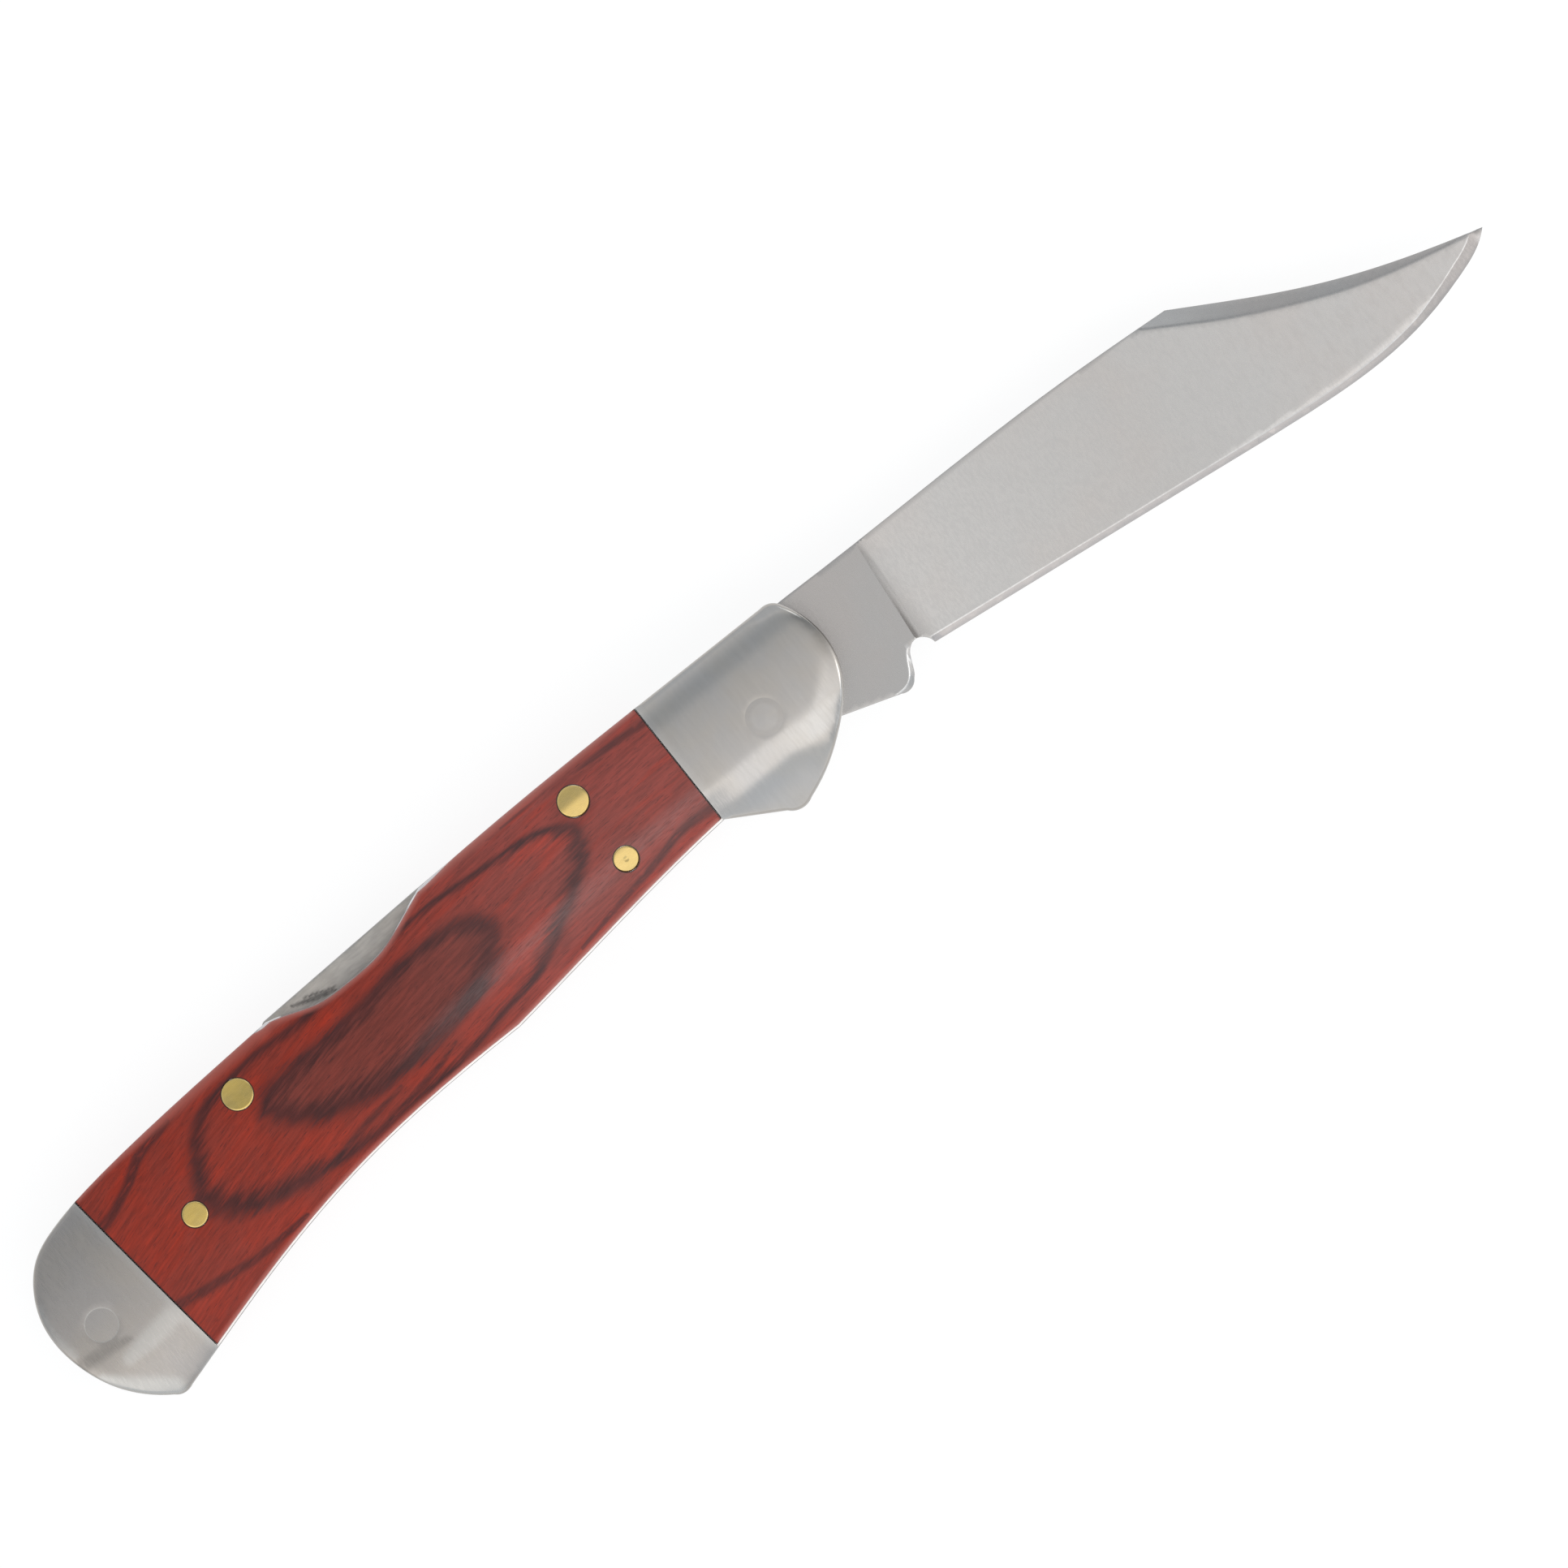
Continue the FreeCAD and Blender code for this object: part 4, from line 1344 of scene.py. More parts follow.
        # How far in from the free rim a point lies, widened along the back, for the painted sheen.
        edge = to_lines(at, outline[free], after[free])[0] + np.maximum(depth - self.wood_rim, 0)
        sheen = np.where(across > 0, read_off(self.back_sheen, at[:, 0]), 1.0)
        store(piece.data, "edge", edge / sheen)
        WoodFigure(mirrored=side is Side.MARK).paint(piece.data)
        dressed(piece, Body.HANDLE, "scale_wood", self.finishes.wood, name)


@dataclass(frozen=True)
class WoodFigure:
    """The rings that the laminate shows where the crown cuts its layers.

    Each ring is a line through points in millimetres, with its width there.

    Attributes:
        mirrored: Whether the figure runs the other way along the handle.
        handle_ends: The sum of the scale's two ends, about which it is turned round.
        outer: The large ring.
        inner: The ring round the heart.
        bands: Short dark bands towards the corners.
        band_core: How deep the middle of a band counts, in its widths.
    """

    mirrored: bool = False
    handle_ends: float = -90.3
    outer: Trace = (
        (-55.5, 5.2, 0.5), (-59, 5.4, 0.5), (-63.5, 5.0, 0.6), (-66.5, 4.4, 0.7), (-69, 3.0, 0.9),
        (-70.7, 0.7, 1.1), (-72.3, -1.7, 1.6), (-72.3, -4.2, 1.8), (-70.2, -6.3, 1.7), (-66.5, -7.6, 1.3),
        (-62, -8.2, 1.0), (-58, -8.6, 0.7), (-48, -8.4, 0.5), (-43, -8.1, 0.5), (-37.5, -7.0, 0.55),
        (-33, -6.2, 0.7), (-29, -4.5, 0.9), (-25.3, -2.4, 1.0), (-22.3, -0.4, 1.2), (-20.8, 1.7, 1.3),
        (-21, 3.3, 1.2), (-22.5, 4.5, 0.9), (-25, 5.3, 0.6), (-30, 5.75, 0.5), (-35, 6.15, 0.4),
        (-40, 6.05, 0.4), (-47, 5.6, 0.4))
    inner: Trace = (
        (-48, 2.85, 0.9), (-54, 2.4, 1.0), (-58, 2.35, 1.1), (-61.5, 1.8, 1.4), (-62.5, -0.2, 1.8),
        (-61.0, -2.2, 1.6), (-58.7, -4.0, 1.4), (-55, -5.1, 1.3), (-50, -5.6, 1.2), (-44, -5.3, 1.2),
        (-38.5, -4.1, 1.4), (-35.3, -2.6, 1.7), (-33.2, -0.5, 1.8), (-33.2, 1.6, 1.8), (-35.3, 3.3, 1.4),
        (-38.5, 3.7, 0.9), (-43.5, 3.6, 0.9))
    bands: tuple[Trace, ...] = (
        ((-27, 7.5, 0.15), (-19, 7.45, 0.2), (-16, 7.25, 0.3), (-12, 7.05, 0.35), (-9.3, 6.85, 0.4)),
        ((-28, -6.6, 0.15), (-23, -5.6, 0.25), (-17, -4.5, 0.35), (-13, -3.6, 0.45), (-9.3, -3.7, 0.6)),
        ((-82, 1.15, 0.6), (-80, 1.45, 0.55), (-77, 2.8, 0.5), (-74, 4.5, 0.5), (-70, 5.3, 0.3)),
        ((-81, -9.2, 0.5), (-77, -9.8, 0.5), (-71, -10.5, 0.4), (-65, -10.3, 0.25)),
        ((-60, -7.9, 0.2), (-55.4, -7.0, 0.35), (-50, -6.2, 0.25)),
        ((-53, -8.0, 0.15), (-47, -7.1, 0.35), (-43, -6.0, 0.2)))
    band_core: float = 0.9

    def paint(self, mesh: Mesh) -> None:
        """Keep on the mesh how deep each corner lies within the rings, in ring widths."""
        at = corners(mesh)[:, :2]
        if self.mirrored:
            at[:, 0] = self.handle_ends - at[:, 0]
        for name, control in (("ring_outer", self.outer), ("ring_inner", self.inner)):
            ring = curved(control, closed=True)
            distance, nearest, _ = to_lines(at, ring[:, :2], np.roll(ring[:, :2], -1, axis=0))
            depth = np.where(inside(at, [ring[:, :2]]), distance, -distance)
            store(mesh, name, depth / ring[nearest, 2])
        lines = [curved(control, closed=False) for control in self.bands]
        starts = np.vstack([line[:-1] for line in lines])
        ends = np.vstack([line[1:] for line in lines])
        distance, nearest, _ = to_lines(at, starts[:, :2], ends[:, :2])
        store(mesh, "ring_band", self.band_core - distance / starts[nearest, 2])


@dataclass
class Blade:
    """The clip-point blade, with its grinds read from the CAD solid.

    Attributes:
        finishes: The materials.
        level: The height of its middle plane.
        half: Half its thickness.
        rim: The rounding of its edges.
        pitch: The spacing of points on its sides.
        crease_angle: The least angle between two grinds that counts as a crease.
        plunge_top: Where the grind starts, at the spine.
        plunge_foot: Where it starts, above the edge.
        plunge_end: How far the straight wall of the plunge reaches.
        plunge_run: The length over which the grind fades in.
        plunge_wall: The length of the steep part of that.
        plunge_share: How much of the depth the steep part takes.
        plunge_curve: How quickly the steep part falls.
        plunge_lines: How far from its start the plunge is meshed more finely.
        plunge_step: The spacing of points along those lines.
        bevel: The width of the honed edge, at places along the blade.
        bevel_rim: How far beyond it its look ends, and where that is in full.
        bevel_clear: How many of its widths from the edge other creases start.
        bevel_gleam: How bright the painted highlight along its line is, in the same way.
        bevel_shade: How much painted shade darkens the honed edge towards the point.
        line_rim: How far beyond the bevel that line starts, and is in full.
        line_fade: How far beyond it, and from the kick's crease, a line ends, and is in full.
        side_gleam: How much brighter a painted highlight makes the flat grind.
        side_lean: The lean to the back at which that ends, and is in full.
        kick: Where the chamfer round the kick starts and ends.
        kick_fade: How far it fades in at each end.
        kick_gleam: How bright the painted highlight on its crease is.
        point_from: Where the bevel takes the whole of the point.
        point_fade: How far the point's painted highlight takes to come in.
        point_gleam: How bright that painted highlight is.
        edge_half: Half the thickness of its very edge.
        face_least: The least part of a face's normal that counts as facing a way.
        ray_height: How far from the middle plane the solid's levels are read.
        swedge_from: Where the false edge along the clip starts.
        swedge_soft: How far the false edge is rounded over.
        soft_reach: How far to each side of it that is done, in those lengths.
        soft_turns: The number of levels round a point of which the mean is taken.
        crease_soft: How far other grinds are rounded over.
    """

    finishes: Finishes
    level: float = (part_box("blade")[0].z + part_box("blade")[1].z) / 2 / MM
    half: float = (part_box("blade")[1].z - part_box("blade")[0].z) / 2 / MM
    rim: float = 0.05
    pitch: float = 0.45
    crease_angle: float = math.radians(10)
    plunge_top: tuple[float, float] = (17.47, 7.76)
    plunge_foot: tuple[float, float] = (16.27, -3.24)
    plunge_end: float = 17.6
    plunge_run: float = 3.0
    plunge_wall: float = 0.7
    plunge_share: float = 0.56
    plunge_curve: float = 1.6
    plunge_lines: tuple[float, ...] = (0.0, 0.35, 0.75)
    plunge_step: float = 0.15
    bevel: Table = ((17.6, 0.66), (60.0, 0.62), (74.0, 0.75), (80.0, 1.12), (84.5, 1.15))
    bevel_rim: Span = (0.02, -0.06)
    bevel_clear: float = 1.5
    bevel_gleam: Table = ((18.0, 0.8), (32.0, 0.6), (45.0, 0.35), (66.0, 0.4), (74.0, 0.9))
    bevel_shade: Table = ((62.0, 0.0), (76.0, 0.22), (83.0, 0.22), (83.6, 0.0))
    line_rim: Span = (-0.06, 0.0)
    line_fade: Span = (0.12, 0.04)
    side_gleam: Table = ((45.0, 0.0), (60.0, 0.12), (70.0, 0.19), (80.0, 0.28))
    side_lean: Span = (0.15, 0.05)
    kick: Span = (11.3, 15.3)
    kick_fade: float = 0.9
    kick_gleam: float = 0.9
    point_from: float = 83.1
    point_fade: float = 0.4
    point_gleam: float = 0.25
    edge_half: float = 0.03
    face_least: float = 0.2
    ray_height: float = 10.0
    swedge_from: float = 50.0
    swedge_soft: float = 0.2
    soft_reach: float = 1.2
    soft_turns: int = 8
    crease_soft: float = 0.13
    _edge: Points = field(init=False, repr=False)
    _kick: list[list[Points]] = field(init=False, repr=False, default_factory=list)

    def build(self) -> None:
        """Make and dress the blade."""
        solid = welded("blade")
        tree = BVHTree.FromBMesh(solid)
        loops = section("blade", self.level)
        self._edge = self._cutting_edge(loops[0])
        plate = Plate(loops)
        faces = [self._face(solid, tree, loops, facing) for facing in (1, -1)]
        piece = plate.build("looks_blade", *faces)
        solid.free()
        self._mark_bevel(piece.data)
        dressed(piece, Body.BLADE, "blade_steel", self.finishes.blade, "blade")

    def _cutting_edge(self, loop: Points) -> Points:
        """The line of the cutting edge, from the choil to the point."""
        loop = np.roll(loop, -1 - loop[:, 0].argmax(), axis=0)
        choil = np.flatnonzero(loop[:, 0] <= self.plunge_end)[-1]
        return stepped(loop[choil + 1:], self.pitch, closed=False)

    def _to_bevel(self, points: Points) -> tuple[np.ndarray, np.ndarray, Points]:
        """How far points lie from the cutting edge, how wide its bevel is there, and the way inward."""
        away, nearest, _ = to_lines(points, self._edge[:-1], self._edge[1:])
        run = (self._edge[1:] - self._edge[:-1])[nearest]
        inward = np.column_stack([-run[:, 1], run[:, 0]]) / np.hypot(*run.T)[:, None]
        width = read_off(self.bevel, points[:, 0])
        return np.where(points[:, 0] > self.plunge_end, away, np.inf), width, inward

    def _creases(self, solid: bmesh.types.BMesh, loops: list[Points],
                 facing: int) -> tuple[list[Crease], list[Crease]]:
        """The lines along which grinds meet on one side: the false edge's, and all others."""
        swedge = []
        others = []
        start = stepped(np.array([self.plunge_top, self.plunge_foot]), self.plunge_step, closed=False)
        for shift in self.plunge_lines:
            line = start + (shift, 0)
            others += [(*ends, self.crease_soft) for ends in zip(line, line[1:])]
        for edge in solid.edges:
            ends = [np.array(end.co.xy) for end in edge.verts]
            normals = [part.normal for part in edge.link_faces]
            outer = all(normal.z * facing > self.face_least for normal in normals)
            plunge = max(abs(end[0] - self.plunge_end) for end in ends) < SAME_POINT
            if not outer or plunge or edge.calc_face_angle() <= self.crease_angle:
                continue
            rear = min(end[0] for end in ends)
            away, width, _ = self._to_bevel(np.array(ends))
            if rear > self.swedge_from and max(normal.y for normal in normals) > self.face_least:
                swedge.append((*ends, self.swedge_soft))
            elif all(self.kick[0] < end[0] < self.kick[1] for end in ends):
                others.append((*ends, self.crease_soft))
                if any(abs(normal.z) > FLAT for normal in normals):
                    self._kick.append(ends)
            elif rear > self.plunge_end and (away > self.bevel_clear * width).any():
                others.append((*ends, self.crease_soft))
        _, width, inward = self._to_bevel(self._edge)
        line = self._edge + inward * width[:, None]
        line = line[inside(line, loops)]
        others += [(start, end, self.crease_soft) for start, end in zip(line, line[1:])]
        return swedge, others

    def _face(self, solid: bmesh.types.BMesh, tree: BVHTree, loops: list[Points], facing: int) -> Face:
        """One side of the blade."""
        swedge, others = self._creases(solid, loops, facing)
        soft_starts = np.array([crease[0] for crease in swedge])
        soft_ends = np.array([crease[1] for crease in swedge])
        turns = np.arange(self.soft_turns) * math.tau / self.soft_turns
        circle = np.column_stack([np.cos(turns), np.sin(turns)])
        disc = np.vstack([np.zeros((1, 2)), self.swedge_soft * circle])
        lean = (self.plunge_top[0] - self.plunge_foot[0]) / (self.plunge_top[1] - self.plunge_foot[1])
        from_height = self.level + self.ray_height * facing

        def cast(points: Points) -> np.ndarray:
            """The solid's levels at flat points, with gaps beside it."""
            levels = np.full(len(points), np.nan)
            for number, (x, y) in enumerate(points):
                hit = tree.ray_cast(Vector((x, y, from_height)), Vector((0, 0, -facing)))[0]
                if hit:
                    levels[number] = hit.z
            return levels

        def ground(points: Points) -> np.ndarray:
            """The levels of the grinds, with soft joints between them."""
            levels = cast(points)
            reach = self.soft_reach * self.swedge_soft
            soft = np.flatnonzero(to_lines(points, soft_starts, soft_ends)[0] < reach)
            around = [cast(points[soft] + step) for step in disc]
            levels[soft] = np.nanmean(np.array(around), axis=0)
            into = points[:, 0] - self.plunge_top[0] - (points[:, 1] - self.plunge_top[1]) * lean
            side = self.level + facing * self.half
            first, last = self.kick
            kept = smooth_rise(points[:, 0], first, first + self.kick_fade)
            kept *= smooth_rise(points[:, 0], last, last - self.kick_fade)
            levels = np.where(into > 0, levels, side + (levels - side) * kept)
            fading = np.flatnonzero((into > 0) & (into < self.plunge_run))
            beyond = points[fading]
            beyond[:, 0] = np.maximum(beyond[:, 0], self.plunge_end + self.pitch / 4)
            below = cast(beyond)
            wall = np.clip(1 - into[fading] / self.plunge_wall, 0, 1) ** self.plunge_curve
            rise = (1 - into[fading] / self.plunge_run) ** 2
            rise += (wall - rise) * self.plunge_share
            levels[fading] = below + (side - below) * rise
            return np.where(np.isnan(levels), self.level, levels)

        def height(points: Points) -> np.ndarray:
            """The levels of the side, with its honed edge."""
            levels = ground(points)
            away, width, inward = self._to_bevel(points)
            near = np.flatnonzero(away < width)
            share = away[near] / width[near]
            root = ground(points[near] + inward[near] * (width - away)[near][:, None])
            edge = self.level + facing * self.edge_half
            levels[near] = edge + (root - edge) * share
            return levels

        def rounding(points: Points) -> np.ndarray:
            """The rim radius, small along the cutting edge."""
            return np.where(self._to_bevel(points)[0] < SAME_POINT, self.edge_half / 2, self.rim)

        return Face(height, rounding, self.pitch, creases=swedge + others)

    def _mark_bevel(self, mesh: Mesh) -> None:
        """Mark the honed edge, painted shade on it towards the point, and the painted highlights along its
        line, on the kick's crease, on the flat grind and on the point.
        """
        at = corners(mesh)[:, :2]
        along = at[:, 0]
        away, width, _ = self._to_bevel(at)
        beyond = np.minimum(away - width, FAR)
        bevel = smooth_rise(beyond, *self.bevel_rim)
        store(mesh, "honed", bevel)
        # Painted shade on the honed edge towards the point.
        store(mesh, "stain_and_shade", bevel * read_off(self.bevel_shade, along))
        # Painted highlights along the bevel's line, on the kick's crease, on the flat grind and on the point.
        line = smooth_rise(beyond, *self.line_rim) * smooth_rise(beyond, *self.line_fade)
        line *= read_off(self.bevel_gleam, along)
        from_kick = to_lines(at, *(np.array(ends) for ends in zip(*self._kick)))[0]
        kick = self.kick_gleam * smooth_rise(from_kick, *self.line_fade)
        normals = np.empty(len(at) * 3, np.float32)
        mesh.vertices.foreach_get("normal", normals)
        side = smooth_rise(normals[1::3], *self.side_lean) * (1 - bevel) * read_off(self.side_gleam, along)
        point = self.point_gleam * smooth_rise(along, self.point_from, self.point_from + self.point_fade)
        store(mesh, "gleam", np.max([line, kick, side, point], axis=0))


@dataclass
class InnerWork:
    """The liners, the lock bar, its spring and the spacer.

    Attributes:
        finishes: The materials.
        rim: The rounding of their edges.
        pitch: The spacing of points on their sides.
        bar_pitch: The spacing on the lock bar, where the marks are fine.
        smudges: Dark marks of rubbing on the lock bar, as points with their half width.
        scallop: Where painted shade darkens the liners along the thumb scallop, in the same way.
        smudge_and_shade_share: How dark the lock bar's marks and that painted shade are.
        scallop_glints: Where the liners catch the light at its two ends.
    """

    finishes: Finishes
    rim: float = 0.08
    pitch: float = 0.7
    bar_pitch: float = 0.22
    smudges: tuple[Trace, ...] = (
        ((-53.6, 6.6, 0.2), (-52.6, 6.25, 0.3), (-51.6, 5.9, 0.4), (-50.5, 5.55, 0.38), (-49.2, 5.2, 0.2)),
        ((-52.1, 6.5, 0.12), (-51.2, 6.2, 0.18), (-50.0, 5.75, 0.18), (-49.0, 5.45, 0.12)))
    scallop: Trace = ((-55.6, 6.6, 0.8), (-53, 5.6, 1.2), (-49, 5.0, 1.2), (-45, 5.0, 1.2), (-41.5, 5.9, 0.9))
    smudge_and_shade_share: float = 0.85
    scallop_glints: tuple[Trace, ...] = (
        ((-57.2, 6.72, 0.3), (-56.2, 6.85, 0.4), (-55.3, 6.6, 0.3)),
        ((-39.2, 7.2, 0.3), (-37.4, 7.65, 0.4), (-35.0, 7.85, 0.4), (-32.0, 8.05, 0.3)))

    def build(self) -> None:
        """Make and dress the pieces between the slabs."""
        for name, body, slot, finish in (
                ("liner_mark", Body.HANDLE, "liner_steel", self.finishes.liner),
                ("liner_pile", Body.HANDLE, "liner_steel", self.finishes.liner),
                ("lock_bar", Body.LOCK_BAR, "lock_steel", self.finishes.lock),
                ("lock_spring", Body.HANDLE, "lock_steel", self.finishes.lock),
                ("rear_spacer", Body.HANDLE, "lock_steel", self.finishes.lock)):
            low, high = (corner.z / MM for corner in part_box(name))
            pitch = self.bar_pitch if name == "lock_bar" else self.pitch
            faces = [Face(even(level), even(self.rim), pitch) for level in (high, low)]
            piece = Plate(section(name, (low + high) / 2)).build("looks_" + name, *faces)
            at = corners(piece.data)[:, :2]
            # Marks on the lock bar, and painted shade on the liners along the scallop.
            traces = self.smudges if name == "lock_bar" else (self.scallop,)
            store(piece.data, "stain_and_shade", self.smudge_and_shade_share * soft_patch(at, *traces))
            # Painted highlights on the liners at the scallop's two ends.
            if slot == "liner_steel":
                store(piece.data, "gleam", soft_patch(at, *self.scallop_glints))
            dressed(piece, body, slot, finish, name)


@dataclass(frozen=True)
class Pin:
    """A pin or rivet.

    Attributes:
        node: The CAD node that it stands for.
        low_flush: Whether its lower end is dressed flush with the crown.
        high_flush: Whether its upper end is.
        facet: The slope of a facet that dressing left on its upper end.
        facet_from: Where the facet starts, in radii towards the back.
        dent: How deep the mark of the punch is, in millimetres.
        ring: How dark a ring the spinning left near its rim.
        pale: How far it is rubbed bright.
    """

    node: str
    low_flush: bool = True
    high_flush: bool = True
    facet: float = 0.0
    facet_from: float = 0.0
    dent: float = 0.0
    ring: float = 0.0
    pale: float = 0.0


@dataclass
class Pins:
    """The pins and rivets, made by one node tree.

    Attributes:
        crown: The envelope that their ends follow.
        finishes: The materials.
        sides: The sides of a pin.
        rings: The rings across an end.
        chamfer: How far a brass rim is broken.
        rim_from: The share of its radius from which on a rim is broken.
        spun_fit: How far spinning widens a steel pin.
        spun_proud: How far it stands above the crown.
        facet_soft: How softly a facet starts, in radii.
        punch_reach: The radius of a punch mark, in radii of its pin.
        ring_span: The shares of its radius between which a spun ring darkens.
    """

    crown: Crown
    finishes: Finishes
    sides: int = 96
    rings: int = 16
    chamfer: float = 0.05
    rim_from: float = 0.99
    spun_fit: float = 0.03
    spun_proud: float = 0.004
    facet_soft: float = 0.3
    punch_reach: float = 0.25
    ring_span: Span = (0.62, 0.8)

    def build(self) -> None:
        """Make and dress the brass pins and the steel ones."""
        brass = [
            Pin("lock_bar_pin", facet=0.12, pale=0.35),
            Pin("spacer_pin"),
            Pin("scale_rivet_front_mark", high_flush=False),
            Pin("scale_rivet_rear_mark", high_flush=False),
            Pin("scale_rivet_front_pile", low_flush=False, facet=0.1, facet_from=0.7, dent=0.08, pale=0.4),
            Pin("scale_rivet_rear_pile", low_flush=False),
        ]
        tree = self._tree()
        self._set(tree, "brass_pins", "brass", self.finishes.brass, brass, self.chamfer)
        for pin, finish in ((Pin("pivot_pin", ring=0.3), self.finishes.pin),
                            (Pin("rear_bolster_pin", pale=0.12), self.finishes.butt)):
            self._set(tree, pin.node, "pin_steel", finish, [pin], 0.0, self.spun_fit, self.spun_proud)

    def _tree(self) -> NodeTree:
        """Build the node tree: one pin for each point, with flush ends cut to the crown."""
        tree = bpy.data.node_groups.new("Flush Pins", "GeometryNodeTree")
        tree.interface.new_socket("Geometry", in_out="INPUT", socket_type="NodeSocketGeometry")
        for label in ("Flat Half", "Strip Radius", "Shoulder Radius", "Arc Radius", "Apex X", "Apex Y",
                      "Chamfer"):
            tree.interface.new_socket(label, in_out="INPUT", socket_type="NodeSocketFloat")
        for label in ("Sides", "Rings"):
            tree.interface.new_socket(label, in_out="INPUT", socket_type="NodeSocketInt")
        tree.interface.new_socket("Material", in_out="INPUT", socket_type="NodeSocketMaterial")
        tree.interface.new_socket("Geometry", in_out="OUTPUT", socket_type="NodeSocketGeometry")
        graph = Graph(tree)
        given = graph.add("NodeGroupInput").outputs

        def kept(label: str) -> Socket:
            """A number kept on the points."""
            return graph.add("GeometryNodeInputNamedAttribute", {"Name": label}, data_type="FLOAT").outputs[0]

        def keep(shape: Socket, label: str, value: Socket) -> Socket:
            """Keep a number on the points of a shape."""
            inputs = {"Geometry": shape, "Name": label, "Value": value}
            return graph.add("GeometryNodeStoreNamedAttribute", inputs, data_type="FLOAT").outputs[0]

        blank = graph.add("GeometryNodeMeshCylinder", {
            "Vertices": given["Sides"], "Side Segments": 1, "Fill Segments": given["Rings"],
            "Radius": 1.0, "Depth": 1.0})
        spot = graph.split(graph.add("GeometryNodeInputPosition").outputs[0])
        shape = keep(blank.outputs["Mesh"], "spoke", graph.length(spot[0], spot[1]))
        shape = keep(shape, "end", graph.math("ADD", spot[2], 0.5))
        shape = keep(shape, "height", spot[1])
        radius = kept("pin_radius")
        stood = graph.add("GeometryNodeInstanceOnPoints", {
            "Points": given["Geometry"], "Instance": shape, "Scale": graph.joined(radius, radius, 1.0)})
        solid = graph.add("GeometryNodeRealizeInstances", {0: stood.outputs[0]}).outputs[0]
        drop = self._drop(graph, given, spot)
        spoke = kept("spoke")
        broken = graph.product(graph.math("GREATER_THAN", spoke, self.rim_from), given["Chamfer"])
        low = graph.math("ADD", graph.math("MULTIPLY_ADD", kept("low_flush"), drop, kept("low_z")), broken)
        fallen = graph.product(kept("high_flush"), drop)
        high = graph.math("SUBTRACT", graph.math("SUBTRACT", kept("high_z"), fallen), broken)
        below = graph.math("SUBTRACT", kept("facet_from"), kept("height"))
        down = graph.math("SMOOTH_MAX", below, 0.0, self.facet_soft)
        high = graph.math("SUBTRACT", high, graph.product(down, kept("facet"), radius))
        punched = graph.math("MAXIMUM", graph.math("MULTIPLY_ADD", spoke, -1 / self.punch_reach, 1.0), 0.0)
        high = graph.math("SUBTRACT", high, graph.product(punched, kept("dent")))
        level = graph.math("MULTIPLY_ADD", graph.math("SUBTRACT", high, low), kept("end"), low)
        goal = graph.joined(spot[0], spot[1], level)
        moved = graph.add("GeometryNodeSetPosition", {"Geometry": solid, "Position": goal}).outputs[0]
        rim = graph.product(graph.math("SUBTRACT", 1.0, spoke), graph.math("DIVIDE", radius, MM))
        spun = graph.math("LESS_THAN", given["Chamfer"], SAME_POINT * MM)
        marked = keep(moved, "rim", graph.math("ADD", rim, spun))
        tone = graph.product(graph.rise(spoke, *self.ring_span), kept("ring"))
        marked = keep(keep(marked, "stain_and_shade", tone), "honed", kept("pale"))
        smooth = graph.add("GeometryNodeSetShadeSmooth", {"Geometry": marked}).outputs[0]
        coated = graph.add("GeometryNodeSetMaterial", {"Geometry": smooth, "Material": given["Material"]})
        graph.feed(graph.add("NodeGroupOutput").inputs["Geometry"], coated.outputs[0])
        return tree

    @staticmethod
    def _drop(graph: Graph, given: NodeOutputs, spot: NodeOutputs) -> Socket:
        """How far the crown has fallen from its flat strip, at the place of a point."""
        def level_share(sine: Socket) -> Socket:
            """The cosine that goes with a sine."""
            return graph.math("SQRT", graph.math("SUBTRACT", 1.0, graph.product(sine, sine)))

        along = graph.math("SUBTRACT", spot[0], given["Apex X"])
        across = graph.math("ADD", graph.math("SUBTRACT", spot[1], given["Apex Y"]), given["Arc Radius"])
        reach = graph.length(along, across)
        offset = graph.math("ABSOLUTE", graph.math("SUBTRACT", reach, given["Arc Radius"]))
        strip = graph.math("MINIMUM", offset, given["Flat Half"])
        start = graph.math("DIVIDE", given["Flat Half"], given["Strip Radius"])
        beyond = graph.math("SUBTRACT", offset, strip)
        lean = graph.math("ADD", start, graph.math("DIVIDE", beyond, given["Shoulder Radius"]))
        rise = graph.math("SUBTRACT", level_share(start), level_share(lean))
        sag = graph.math("DIVIDE", graph.product(strip, strip), given["Strip Radius"])
        return graph.math("MULTIPLY_ADD", rise, given["Shoulder Radius"], graph.product(sag, 0.5))

